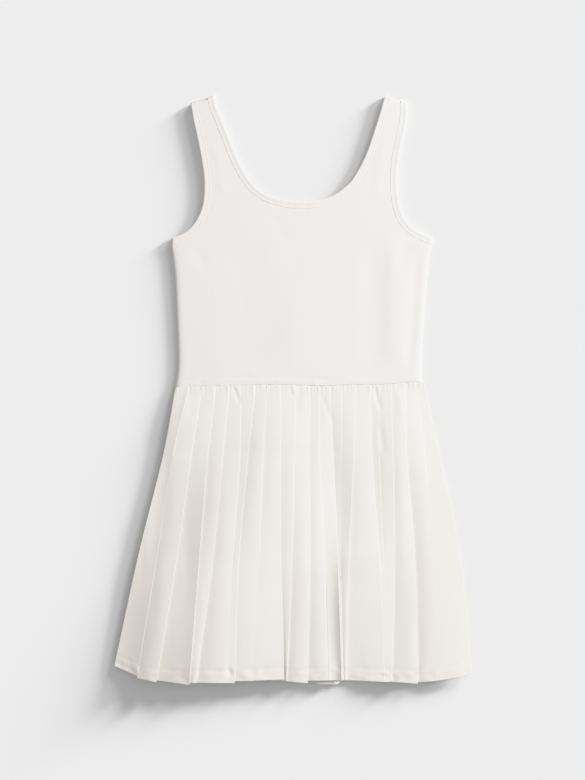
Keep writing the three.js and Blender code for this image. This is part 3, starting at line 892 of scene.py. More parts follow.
@dataclass(frozen=True)
class Thread:
    """A row of stitches: short round-ended lengths of thread laid along a line."""

    length: float = 2.3
    gap: float = 0.9
    thick: float = 0.42
    sides: int = 6
    profile: tuple[tuple[float, float], ...] = (
        (-0.5, 0.08), (-0.44, 0.75), (-0.2, 1.0), (0.2, 1.0), (0.44, 0.75), (0.5, 0.08),
    )

    def stitches(self, line: np.ndarray, ups: np.ndarray) -> Surface:
        """Lays stitches along a line.

        Each stitch is a closed tube of few sides whose radius follows the profile, turned into
        the line's direction, and its ends sink a little into the cloth.

        Args:
            line: points that the row follows.
            ups: the direction away from the cloth at each point.

        Returns:
            All stitches as one surface.
        """
        steps = np.linalg.norm(np.diff(line, axis=0), axis=1)
        along = np.concatenate([[0.0], np.cumsum(steps)])
        pitch = self.length + self.gap
        middles = np.arange(pitch / 2.0, along[-1] - pitch / 2.0, pitch)

        def read(values: np.ndarray, where: np.ndarray) -> np.ndarray:
            """Values at distances along the line."""
            return np.stack([np.interp(where, along, values[:, axis]) for axis in range(3)], axis=1)

        centre = read(line, middles)
        run = read(line, middles + 0.5) - read(line, middles - 0.5)
        run /= np.linalg.norm(run, axis=1, keepdims=True)
        up = read(ups, middles)
        side = np.cross(run, up)
        side /= np.linalg.norm(side, axis=1, keepdims=True)
        up = np.cross(side, run)
        angle = np.linspace(0.0, 2.0 * math.pi, self.sides, endpoint=False)
        shape = np.array(self.profile)
        reach = shape[:, 0] * self.length
        radius = shape[:, 1] * self.thick / 2.0
        sink = -0.5 * self.thick * (2.0 * shape[:, 0]) ** 4
        ring = radius[:, None] * np.cos(angle), radius[:, None] * np.sin(angle) + sink[:, None]
        points = (centre[:, None, None, :]
                  + reach[None, :, None, None] * run[:, None, None, :]
                  + ring[0][None, :, :, None] * side[:, None, None, :]
                  + ring[1][None, :, :, None] * up[:, None, None, :])
        rings = len(shape)
        tube = grid_faces(rings, self.sides, (False, True))
        first = np.array([[0, 1, 2, 3], [0, 3, 4, 5]])
        last = first[:, ::-1] + (rings - 1) * self.sides
        one = np.concatenate([tube, first, last])
        starts = np.arange(len(middles)) * rings * self.sides
        faces = (one[None, :, :] + starts[:, None, None]).reshape(-1, 4)
        flat = points.reshape(-1, 3)
        return Surface(flat, faces, flat[:, :2]).turned_out()


@dataclass
class Bodice:
    """Front and back of the knit tank bodice."""

    shop: Workshop
    armhole_steps: int = 64
    side_steps: int = 46
    neck_steps: int = 44
    strap_columns: int = 40
    scoop_columns: int = 72
    scoop_start: float = 0.335
    side_round: float = 11.0
    underarm_round: tuple[float, float] = (208.0, 232.0)
    shoulder_round: float = 4.0
    shoulder_reach: float = 0.06
    shoulder_out: float = 2.2
    side_power: float = 2.4
    band_height: float = 7.5
    band_rise: float = 0.45
    band_edge: float = 1.6
    band_fade: float = 6.0
    pucker_fade: tuple[float, float] = (20.0, 8.0)
    waist_ditch_depth: float = 0.42
    waist_ditch_width: float = 1.2
    ditch_depth: float = 0.35
    ditch_width: float = 1.0
    ditch_full: float = 0.54
    armhole_starts: tuple[float, float] = (900.0, 1400.0)
    ripple_rise: float = 0.16
    ripple_turns: tuple[float, float, float] = (0.83, 0.21, 1.37)
    ripple_reach: float = 5.0
    ripple_start: float = 2.0
    panel_over: float = 0.5
    back_swell: float = 0.2
    tuck_in: float = 0.9

    def waist_y(self, x: np.ndarray) -> np.ndarray:
        """Y of the panel's lower edge."""
        return height_of(WAIST_SEAM.read("x", x, "drop"))

    def below_neck(self, top: np.ndarray, lower: int) -> np.ndarray:
        """Columns of points that hang straight down from the neck's points to the waist.

        Args:
            top: the points (x, y) that the columns start from.
            lower: number of steps down.

        Returns:
            An array of lower + 1 rows of as many points as top has.
        """
        share = spread(lower, 0.72)[:, None]
        x = np.broadcast_to(top[:, 0], (lower + 1, len(top)))
        y = mix(top[:, 1], self.waist_y(top[:, 0]), share)
        return np.stack([x, y], axis=2)

    def shoulder_end(self, curve: EdgeCurve, side: str, towards_neck: bool) -> np.ndarray:
        """Where the panel's shoulder meets the sewn edge of a binding.

        Args:
            curve: the neck or armhole edge.
            side: left or right.
            towards_neck: whether the panel runs from this edge towards the neck.

        Returns:
            The point (x, y).
        """
        run = np.array([-SHOULDER_RUN if side == "left" else SHOULDER_RUN, -SHOULDER_FALL])
        run /= np.linalg.norm(run)
        out = np.array([-run[1], run[0]]) if side == "right" else np.array([run[1], -run[0]])
        inward = -run if towards_neck else run
        at_end = side == "right" and not towards_neck
        edge = curve.at(np.array([1.0 if at_end else 0.0]))[0]
        return edge + (BINDING_WIDTH - self.tuck_in) * inward + self.shoulder_out * out

    def shoulder_line(self) -> tuple[np.ndarray, np.ndarray]:
        """The line of both shoulders: x of its four ends, and their drops."""
        ends = np.array([
            self.shoulder_end(armhole_curve("left"), "left", True),
            self.shoulder_end(neck_curve(0.0), "left", False),
            self.shoulder_end(neck_curve(0.0), "right", False),
            self.shoulder_end(armhole_curve("right"), "right", True),
        ])
        return ends[:, 0], DRESS_LENGTH / 2.0 - ends[:, 1]

    def strap(self, neck: EdgeCurve, side: str) -> tuple[np.ndarray, np.ndarray]:
        """One side of the panel: from the armhole and side seam in to the neck and below it.

        Every row is a straight line between an outer and an inner point.

        Args:
            neck: the neck edge.
            side: left or right.

        Returns:
            Points (x, y) and quads.
        """
        inset = BINDING_WIDTH - self.tuck_in
        away = -inset if side == "left" else inset
        curve = armhole_curve(side)
        shares = np.linspace(0.0, 1.0, self.armhole_steps + 1)[:-1]
        underarm = ARMHOLE_EDGE.column("drop")[-1] + BINDING_WIDTH + 3.0 * SEAM_GAP
        waist = WAIST_SEAM.column("drop")[0 if side == "left" else -1] - SEAM_GAP / 2.0
        drop = mix(underarm, waist, 1.0 - (1.0 - np.linspace(0.0, 1.0, self.side_steps + 1)) ** 1.5)
        seam = np.stack([SIDE_SEAM.read("drop", drop, side), height_of(drop)], axis=1)
        along_armhole = curve.beside(shares, away)
        lift = self.shoulder_end(curve, side, True) - along_armhole[0]
        along_armhole += lift * ease(shares, self.shoulder_reach, 0.0)[:, None]
        outer = np.concatenate([along_armhole, seam])
        to_scoop = np.linspace(0.0, self.scoop_start, self.neck_steps + 1)
        inner_top = neck.beside(to_scoop if side == "left" else 1.0 - to_scoop, inset)
        lift = self.shoulder_end(neck, side, False) - inner_top[0]
        inner_top += lift * ease(to_scoop, self.shoulder_reach / 2.0, 0.0)[:, None]
        lower = self.armhole_steps + self.side_steps - self.neck_steps
        inner = np.concatenate([inner_top, self.below_neck(inner_top[-1:], lower)[1:, 0]])
        share = spread(self.strap_columns, 0.6)[None, :, None]
        points = mix(outer[:, None, :], inner[:, None, :], share)
        miss = self.waist_y(points[-1, :, 0]) - points[-1, :, 1]
        down = np.clip(np.arange(len(points)) - self.armhole_steps, 0, None) / self.side_steps
        points[:, :, 1] += down[:, None] * miss[None, :]
        faces = grid_faces(*points.shape[:2])
        return points.reshape(-1, 2), faces if side == "left" else faces[:, ::-1]

    def panel(self, neck: EdgeCurve) -> tuple[np.ndarray, np.ndarray]:
        """The whole panel, flat: two straps that go on down, and the middle below the scoop.

        Args:
            neck: the neck edge.

        Returns:
            Points (x, y) and quads.
        """
        shares = np.linspace(self.scoop_start, 1.0 - self.scoop_start, self.scoop_columns + 1)
        top = neck.beside(shares, BINDING_WIDTH - self.tuck_in)
        lower = self.armhole_steps + self.side_steps - self.neck_steps
        middle = self.below_neck(top, lower)
        centre = (middle.reshape(-1, 2), grid_faces(*middle.shape[:2]))
        return welded([self.strap(neck, "left"), self.strap(neck, "right"), centre])

    def bound_edge(self, flat: np.ndarray) -> tuple[np.ndarray, np.ndarray]:
        """How far each point of the front lies from the nearest binding, and where along it.

        Args:
            flat: points (x, y).

        Returns:
            Distances and places along the bindings.
        """
        inset = BINDING_WIDTH - self.tuck_in
        edges = ((neck_curve(0.0), inset, 0.0),
                 (armhole_curve("left"), -inset, self.armhole_starts[0]),
                 (armhole_curve("right"), inset, self.armhole_starts[1]))
        nearest = np.full(len(flat), np.inf)
        along = np.zeros(len(flat))
        for curve, away, start in edges:
            shares = np.linspace(0.0, 1.0, int(curve.length))
            line = curve.beside(shares, away)
            gaps = np.linalg.norm(flat[:, None, :] - line[None, :, :], axis=2)
            closest = gaps.argmin(axis=1)
            gap = gaps[np.arange(len(flat)), closest]
            closer = gap < nearest
            nearest = np.where(closer, gap, nearest)
            along = np.where(closer, start + shares[closest] * curve.length, along)
        return nearest, along

    def ripple(self, along: np.ndarray) -> np.ndarray:
        """Uneven pull of a binding's stitches: sin a sin(b + 1) + 0.6 sin c of the distance along."""
        a, b, c = (along * turn for turn in self.ripple_turns)
        return self.ripple_rise * (np.sin(a) * np.sin(b + 1.0) + 0.6 * np.sin(c))

    def front_height(self, flat: np.ndarray) -> np.ndarray:
        """Height of the middle of the front panel.

        It is low at the side seams and shoulders and level with the bindings beside them. Over
        the waist seam's turnings it is raised by a band with a crisp top edge, it dips into
        the seams, and the soft folds and puckers lie on that.

        Args:
            flat: points (x, y).

        Returns:
            Heights.
        """
        x = flat[:, 0]
        drop = DRESS_LENGTH / 2.0 - flat[:, 1]
        left = SIDE_SEAM.read("drop", drop, "left")
        right = SIDE_SEAM.read("drop", drop, "right")
        from_side = np.minimum(x - left, right - x)
        inward = np.clip(from_side / self.side_round, 0.0, 1.0)
        full = FRONT_BINDING_Z + self.panel_over
        body = mix(SIDE_SEAM_Z, full, np.sqrt(1.0 - (1.0 - inward) ** self.side_power))
        level = mix(full, body, ease(drop, *self.underarm_round))
        over = np.clip((drop - np.interp(x, *self.shoulder_line())) / self.shoulder_round, 0.0, 1.0)
        height = mix(SIDE_SEAM_Z, level, np.sqrt(1.0 - (1.0 - over) ** 2))
        height += line_folds(FRONT_FOLDS, x, drop)
        height += BODICE_SWELLS.height(x, drop)
        above = WAIST_SEAM.read("x", x, "drop") - drop
        inside = ease(from_side, 0.0, self.band_fade)
        band = ease(above, self.band_height + self.band_edge, self.band_height)
        pucker = BAND_PUCKERS.height(x, above) * ease(above, *self.pucker_fade)
        ditch = self.waist_ditch_depth * np.exp(-(above / self.waist_ditch_width) ** 2)
        height += inside * (self.band_rise * band + pucker - ditch)
        gap, along = self.bound_edge(flat)
        height -= self.ditch_depth * ease(gap, self.tuck_in + self.ditch_width, self.ditch_full)
        pull = np.exp(-gap / self.ripple_reach) * ease(gap, 0.0, self.ripple_start)
        return height + self.ripple(along) * pull

    def back_height(self, flat: np.ndarray) -> np.ndarray:
        """Height of the middle of the back panel, which lies flat with faint swells."""
        return BACK_PANEL_Z + np.clip(BACK_SWELLS.height(flat[:, 0], flat[:, 1]), 0.0, self.back_swell)

    def make(self, name: str, neck: EdgeCurve, heights: Callable[[np.ndarray], np.ndarray]) -> None:
        """Makes one panel.

        Args:
            name: the solid that it stands for.
            neck: its neck edge.
            heights: gives the height of its middle at points (x, y).
        """
        flat, faces = self.panel(neck)
        middle = heights(flat)
        half = KNIT_WALL / 2.0
        outer = np.column_stack([flat, middle + half])
        inner = np.column_stack([flat, middle - half])
        surface = closed_wall(outer, inner, faces, flat)
        made = self.shop.piece(f"cloth_{name}", surface, self.shop.knit, Slot.KNIT, (name,))

    def build(self) -> None:
        """Makes both panels."""
        self.make("bodice_front", neck_curve(0.0), self.front_height)
        self.make("bodice_back", neck_curve(BACK_NECK_DEEPER), self.back_height)


@dataclass
class Binding:
    """A folded knit strip round an opening, sewn down with one row of stitches.

    It runs along the front edge, folds over, runs back along the back edge and folds again.
    """

    shop: Workshop
    name: str
    front: EdgeCurve
    back: EdgeCurve
    side: float
    start_fold: np.ndarray
    end_fold: np.ndarray
    steps: int = 200
    fold_steps: int = 14
    around: int = 32
    seam_at: float = 4.7
    free_power: float = 0.5
    sewn_power: float = 0.2
    groove: float = 0.7
    groove_width: float = 0.7
    waver: float = 0.06
    waver_turns: tuple[float, float] = (0.9, 0.37)
    thread_out: float = 0.15
    thread: Thread = Thread()

    def section(self) -> tuple[np.ndarray, np.ndarray]:
        """The strip's section: a flattened oval with a stitched groove on its outer side.

        Across it is |cos|^p and upwards |sin|^p, each with its sign, where p is larger and so
        the edge rounder on the free side, and the groove takes a bell out of the upper side.

        Returns:
            Distances from the free edge and heights over the strip's middle.
        """
        angle = np.linspace(0.0, 2.0 * math.pi, self.around, endpoint=False)
        power = np.where(np.cos(angle) > 0.0, self.free_power, self.sewn_power)
        wide = np.sign(np.cos(angle)) * np.abs(np.cos(angle)) ** power
        high = np.sign(np.sin(angle)) * np.abs(np.sin(angle)) ** power
        across = BINDING_WIDTH * (1.0 - wide) / 2.0
        dip = self.groove * np.exp(-((across - self.seam_at) / self.groove_width) ** 2)
        up = high * BINDING_THICK / 2.0 - np.where(high > 0.0, dip, 0.0)
        return across, up

    def rings(self, free: np.ndarray, inward: np.ndarray, up: np.ndarray) -> np.ndarray:
        """Sections set at stations.

        Args:
            free: the free edge's points, at the strip's middle height.
            inward: directions from the free edge to the sewn one.
            up: directions out of the strip's outer side.

        Returns:
            An array of stations by points by 3.
        """
        across, high = self.section()
        return (free[:, None, :] + across[None, :, None] * inward[:, None, :]
                + high[None, :, None] * up[:, None, :])

    def stations(self) -> tuple[np.ndarray, np.ndarray, np.ndarray]:
        """Free edge, inward and up directions all the way round.

        Returns:
            Three arrays of one row per station.
        """
        between = np.linspace(0.0, 1.0, self.steps + 1)[1:-1]
        parts = [self.flat_run(self.front, between, FRONT_BINDING_Z, 1.0),
                 self.fold(1.0, self.end_fold, True),
                 self.flat_run(self.back, between[::-1], BACK_BINDING_Z, -1.0),
                 self.fold(0.0, self.start_fold, False)]
        return tuple(np.concatenate([part[index] for part in parts]) for index in range(3))

    def flat_run(self, curve: EdgeCurve, shares: np.ndarray, z: float,
                 facing: float) -> tuple[np.ndarray, np.ndarray, np.ndarray]:
        """Stations along one edge.

        Args:
            curve: the edge.
            shares: where on it.
            z: height of the strip's middle.
            facing: 1 with the outer side up, -1 down.

        Returns:
            Free edge, inward and up directions.
        """
        free = np.column_stack([curve.at(shares), np.full(len(shares), z)])
        inward = (curve.beside(shares, self.side) - curve.at(shares))
        inward = np.column_stack([inward, np.zeros(len(shares))])
        up = np.tile([0.0, 0.0, facing], (len(shares), 1))
        return free, inward, up

    def fold(self, share: float, direction: np.ndarray,
             from_front: bool) -> tuple[np.ndarray, np.ndarray, np.ndarray]:
        """Stations round the half turn between the front run and the back run.

        Args:
            share: the end of the curve that folds.
            direction: the way that the fold's crease runs, away from the free edge.
            from_front: whether the turn goes from the front to the back.

        Returns:
            Free edge, inward and up directions.
        """
        end = self.front.at(np.array([share]))[0]
        run = self.front.towards(np.array([share]))[0] * (1.0 if share > 0.5 else -1.0)
        out = np.array([-direction[1], direction[0], 0.0])
        if out[:2] @ run < 0:
            out = -out
        turn = np.linspace(0.0, math.pi, self.fold_steps + 1)
        if not from_front:
            turn = turn[::-1]
        middle = (FRONT_BINDING_Z + BACK_BINDING_Z) / 2.0
        radius = (FRONT_BINDING_Z - BACK_BINDING_Z) / 2.0
        up = np.cos(turn)[:, None] * np.array([0.0, 0.0, 1.0]) + np.sin(turn)[:, None] * out
        free = np.array([end[0], end[1], middle]) + radius * up
        inward = np.tile([direction[0], direction[1], 0.0], (len(turn), 1))
        return free, inward, up

    def build(self) -> bpy.types.Object:
        """Makes the strip and its stitches.

        Returns:
            The strip's object.
        """
        free, inward, up = self.stations()
        station = np.arange(len(free))
        wave = 0.5 * np.sin(station * self.waver_turns[0]) + np.sin(station * self.waver_turns[1])
        rings = self.rings(free + self.waver * wave[:, None] * np.abs(up), inward, up)
        steps = np.linalg.norm(np.roll(free, -1, axis=0) - free, axis=1)
        along = np.cumsum(steps) - steps
        across, _ = self.section()
        places = np.stack(np.broadcast_arrays(along[:, None], across[None, :]), axis=2)
        surface = Surface(rings.reshape(-1, 3), grid_faces(*rings.shape[:2], (True, True)),
                          places.reshape(-1, 2)).turned_out()
        made = self.shop.piece(f"cloth_{self.name}", surface, self.shop.knit, Slot.BINDING,
                               (self.name,))
        depth = BINDING_THICK / 2.0 - self.groove + self.thread_out * self.thread.thick
        row = free + self.seam_at * inward + depth * up
        stitches = self.thread.stitches(np.concatenate([row, row[:1]]), np.concatenate([up, up[:1]]))
        sewing = self.shop.piece(f"stitches_{self.name}", stitches, self.shop.thread, Slot.BINDING)
        return made


@dataclass
class PleatedPanel:
    """A knife-pleated skirt panel, worked out row by row from the waist to the hem.

    Across each row the cloth's middle line rises to a folded edge, turns under by the tuck, and
    turns again into the next face, three layers deep, on a smooth cubic B-spline.
    """

    rows: int
    layer: float = LAYER
    samples: int = 2
    face_start: float = 0.8
    narrow_face: float = 0.15
    least_face: float = 2.4
    clear: float = 0.12
    face_shares: tuple[float, ...] = (0.12, 0.3, 0.5, 0.7, 0.88)
    crease_near: tuple[float, ...] = (0.8, 0.25, 0.0)
    crease_shares: tuple[float, ...] = (0.045, 0.015, 0.0)
    lip: tuple[float, ...] = (0.0, 0.03, 0.07)
    tuck_shares: tuple[float, ...] = (0.5,)
    settle: float = 0.5
    full_tuck: float = 8.0
    most_off: float = 8.5
    last_shares: tuple[float, ...] = (0.25, 0.5)
    seam_near: tuple[float, ...] = (3.0, 1.0)

    def levels(self) -> np.ndarray:
        """Distances below the waist seam of the rows, closer at the seam and the hem."""
        return SKIRT_LENGTH * spread(self.rows, 0.8)

    def folds(self, left: np.ndarray, pleats: Sequence[dict], last_climb: np.ndarray) -> list[dict]:
        """Works out each pleat's face and tuck in every row, over level ground.

        Each face starts high enough to clear the three layers of its own tuck. Its edge stands
        at least two layers over the next face's start. Lower down, where pleats stand open, it
        stands off by what its own face climbs and an even part of what the faces without a tuck
        climb, up to the most that it may.

        Args:
            left: x of the left side seam in each row.
            pleats: the pleats as control_line reads them.
            last_climb: what the cloth after the last edge should climb.

        Returns:
            For each pleat its edge, its first x and the x from which it shows, the tuck's depth,
            its folded share from -1, open, to 1, its start height, climb, top and the next
            face's start height.
        """
        turn = self.layer / 2.0
        rise = left
        last_edge = left
        found = []
        for pleat in pleats:
            edge = pleat["edge"]
            width = edge - rise
            under = np.minimum(pleat["tuck"], width - self.least_face)
            folded = np.clip(under / (2.0 * turn), -1.0, 1.0)
            first = rise + np.minimum(self.face_start, self.narrow_face * width)
            shown = np.maximum(first, last_edge)
            share = np.clip((edge - under - shown) / (edge - turn - shown), 0.0, 1.0)
            stack = 2.0 * self.layer * np.clip(folded, 0.0, 1.0)
            over = stack * share + 4.0 * pleat["bulge"] * share * (1.0 - share)
            needed = np.maximum(2.0 * self.layer + self.clear - over, 0.0) * np.clip(folded, 0.0, 1.0)
            found.append({"edge": edge, "under": under, "folded": folded, "first": first,
                          "shown": shown, "inner_share": share, "stack": stack, "needed": needed})
            last_edge = edge
            rise = np.maximum(edge, edge - under)
        climbs = [np.maximum(pleat["climb"], 0.0) for pleat in pleats]
        shares = [ease(fold["under"], 0.0, self.full_tuck) for fold in found]
        borne = sum(share * climb for share, climb in zip(shares, climbs))
        missing = np.maximum(last_climb + sum(pleat["climb"] for pleat in pleats) - borne, 0.0)
        extra = missing / np.maximum(sum(shares), 1.0)
        start = found[0]["needed"]
        for index, fold in enumerate(found):
            off = np.minimum(shares[index] * (climbs[index] + extra), self.most_off)
            fold["stack"] = np.maximum(fold["stack"], off * pleats[index]["open"])
            after = found[index + 1]["needed"] if index + 1 < len(found) else np.zeros_like(left)
            climb = np.maximum(fold["stack"], after + fold["stack"] - start)
            top = start + climb
            fold.update({"start": start, "climb": climb, "top": top})
            start = mix(top - fold["stack"], after, self.settle)
            fold["next_start"] = start
        return found

    def control_line(self, left: np.ndarray, right: np.ndarray, pleats: Sequence[dict],
                     last_climb: np.ndarray, side_hem: Mapping[str, float]
                     ) -> tuple[np.ndarray, np.ndarray, np.ndarray]:
        """Control points of every row's line, over level ground.

        Along the part of a face that shows, s from 0 to 1, the height is
        start + climb s + 4 bulge s (1 - s), and a lip stands up along the folded edge. What lies
        under the last fold is level.

        Args:
            left: x of the left side seam in each row.
            right: x of the right side seam in each row.
            pleats: for each pleat its edge, tuck, climb, bulge and how far it stands open in each
                row, and the hem's drop at the start of its face and at its edge.
            last_climb: what the cloth after the last edge should climb.
            side_hem: the hem's drop at the left seam, the last valley and the right seam.

        Returns:
            x and height of the control points, rows by points, and each point's hem drop.
        """
        turn = self.layer / 2.0
        folds = self.folds(left, pleats, last_climb)
        xs = [left]
        zs = [np.zeros_like(left)]
        hems = [side_hem["left"]]
        for index, (fold, pleat) in enumerate(zip(folds, pleats)):
            edge, under, folded, first = (fold[key] for key in ("edge", "under", "folded", "first"))
            later = pleats[index + 1]["hem_start"] if index + 1 < len(pleats) else side_hem["valley"]
            begin, end = pleat["hem_start"], pleat["hem_end"]

            def height(share: np.ndarray) -> np.ndarray:
                """Height of the face at a share of the width that shows."""
                return (fold["start"] + fold["climb"] * share
                        + 4.0 * pleat["bulge"] * share * (1.0 - share))

            xs.append(first)
            zs.append(fold["start"])
            hems.append(begin)
            wide = edge - turn - first
            near = [1.0 - np.minimum(gap / wide, share)
                    for gap, share in zip(self.crease_near, self.crease_shares)]
            lips = (0.0,) * len(self.face_shares) + self.lip
            for share, lip in zip((*self.face_shares, *near), lips):
                at_x = first + wide * share
                visible = np.clip((at_x - fold["shown"]) / (edge - turn - fold["shown"]), 0.0, 1.0)
                xs.append(at_x)
                zs.append(height(visible) + lip * np.clip(folded, 0.0, 1.0))
                hems.append(mix(begin, end, float(np.mean(share))))
            in_fold = (folded + 1.0) / 2.0
            inner = np.clip(height(fold["inner_share"]) - 2.0 * self.layer - self.clear, 0.0,
                            fold["next_start"])
            inner = mix(fold["next_start"], inner, in_fold)
            outer_x = edge - turn * folded
            inner_x = edge - under + turn * folded
            outer_z = fold["top"] - 2.0 * turn * in_fold
            xs += [edge, outer_x]
            zs += [fold["top"] - turn * in_fold, outer_z]
            hems += [end, end]
            for share in self.tuck_shares:
                xs.append(mix(outer_x, inner_x, share))
                zs.append(mix(outer_z, inner + 2.0 * turn * in_fold, share))
                hems.append(mix(end, later, share))
            xs += [inner_x, edge - under, edge - under + turn]
            zs += [inner + 2.0 * turn * in_fold, inner + turn * in_fold, inner]
            hems += [later, later, later]
        start = folds[-1]["next_start"]
        rise = np.maximum(folds[-1]["edge"], folds[-1]["edge"] - folds[-1]["under"])
        last = right - rise
        for share in (*self.last_shares, *(1.0 - gap / last for gap in self.seam_near)):
            xs.append(rise + last * share)
            zs.append(start)
            hems.append(mix(side_hem["valley"], side_hem["right"], float(np.mean(share))))
        xs.append(right)
        zs.append(start)
        hems.append(side_hem["right"])
        return np.stack(xs, axis=1), np.stack(zs, axis=1), np.array(hems)

    def ground(self, left: np.ndarray, right: np.ndarray, pleats: Sequence[dict],
               last_climb: np.ndarray) -> tuple[np.ndarray, np.ndarray]:
        """The uneven ground that gives every face its own slope.

        From edge to edge it rises by what the face should climb. Where the face's own layer
        climbs, which is from where it shows, that is taken off. So it is a straight line under
        what shows of each face. The slope from seam to seam is then taken out.

        Args:
            left: x of the left side seam in each row.
            right: x of the right side seam in each row.
            pleats: the pleats, with the climb that each face should show.
            last_climb: what the cloth after the last edge should climb.

        Returns:
            x and height of the ground's corners, rows by corners.
        """
        folds = self.folds(left, pleats, last_climb)
        corners = [left]
        steps = [np.zeros_like(left)]
        for fold, pleat in zip(folds, pleats):
            before = np.clip((fold["shown"] - corners[-1]) / (fold["edge"] - corners[-1]), 0.0, 1.0)
            corners += [fold["shown"], fold["edge"]]
            steps += [before * pleat["climb"], (1.0 - before) * pleat["climb"] - fold["climb"]]
        x = np.stack([*corners, right], axis=1)
        heights = np.cumsum(np.stack([*steps, last_climb], axis=1), axis=1)
        along = (x - left[:, None]) / (right - left)[:, None]
        return x, heights - along * heights[:, -1:]

    def spline(self, controls: int) -> np.ndarray:
        """The cubic B-spline as a matrix from control points to line points.

        Both ends are reached because the line is carried on past each end by the mirror image of
        the next control point.

        Args:
            controls: number of control points.

        Returns:
            Line points by control points.
        """
        count = (controls - 1) * self.samples + 1
        where = np.arange(count) / self.samples
        span = np.minimum(where.astype(int), controls - 2)
        t = where - span
        weights = ((1 - t) ** 3 / 6, (3 * t ** 3 - 6 * t ** 2 + 4) / 6,
                   (-3 * t ** 3 + 3 * t ** 2 + 3 * t + 1) / 6, t ** 3 / 6)
        padded = np.zeros((count, controls + 2))
        for offset, weight in enumerate(weights):
            padded[np.arange(count), span + offset] += weight
        matrix = padded[:, 1:-1]
        matrix[:, 0] += 2 * padded[:, 0]
        matrix[:, 1] -= padded[:, 0]
        matrix[:, -1] += 2 * padded[:, -1]
        matrix[:, -2] -= padded[:, -1]
        return matrix

    def surface(self, x: np.ndarray, z: np.ndarray, y: np.ndarray,
                place: Callable[[np.ndarray, np.ndarray, np.ndarray], np.ndarray]
                ) -> tuple[Surface, np.ndarray]:
        """Gives the rows' middle lines a wall and sets it in place.

        The wall's two sides lie half its thickness along the line's normal in each row. Places
        on the cloth are the mean distance along the lines, and the distance below the waist.

        Args:
            x: x of the line points, rows by points.
            z: their heights.
            y: their Y.
            place: puts x, y and height into the dress.

        Returns:
            The closed surface, and its outer side as rows by points by 3.
        """
        run_x = np.gradient(x, axis=1)
        run_z = np.gradient(z, axis=1)
        run = np.hypot(run_x, run_z)
        normal_x, normal_z = -run_z / run, run_x / run
        half = PLEAT_WALL / 2.0
        outer, inner = (place(x + side * half * normal_x, y, z + side * half * normal_z)
                        for side in (1.0, -1.0))
        steps = np.hypot(np.diff(x, axis=1), np.diff(z, axis=1)).mean(axis=0)
        along = np.concatenate([[0.0], np.cumsum(steps)])
        places = np.stack(np.broadcast_arrays(along[None, :], -y), axis=2).reshape(-1, 2)
        wall = closed_wall(outer.reshape(-1, 3), inner.reshape(-1, 3), grid_faces(*x.shape), places)
        return wall, outer


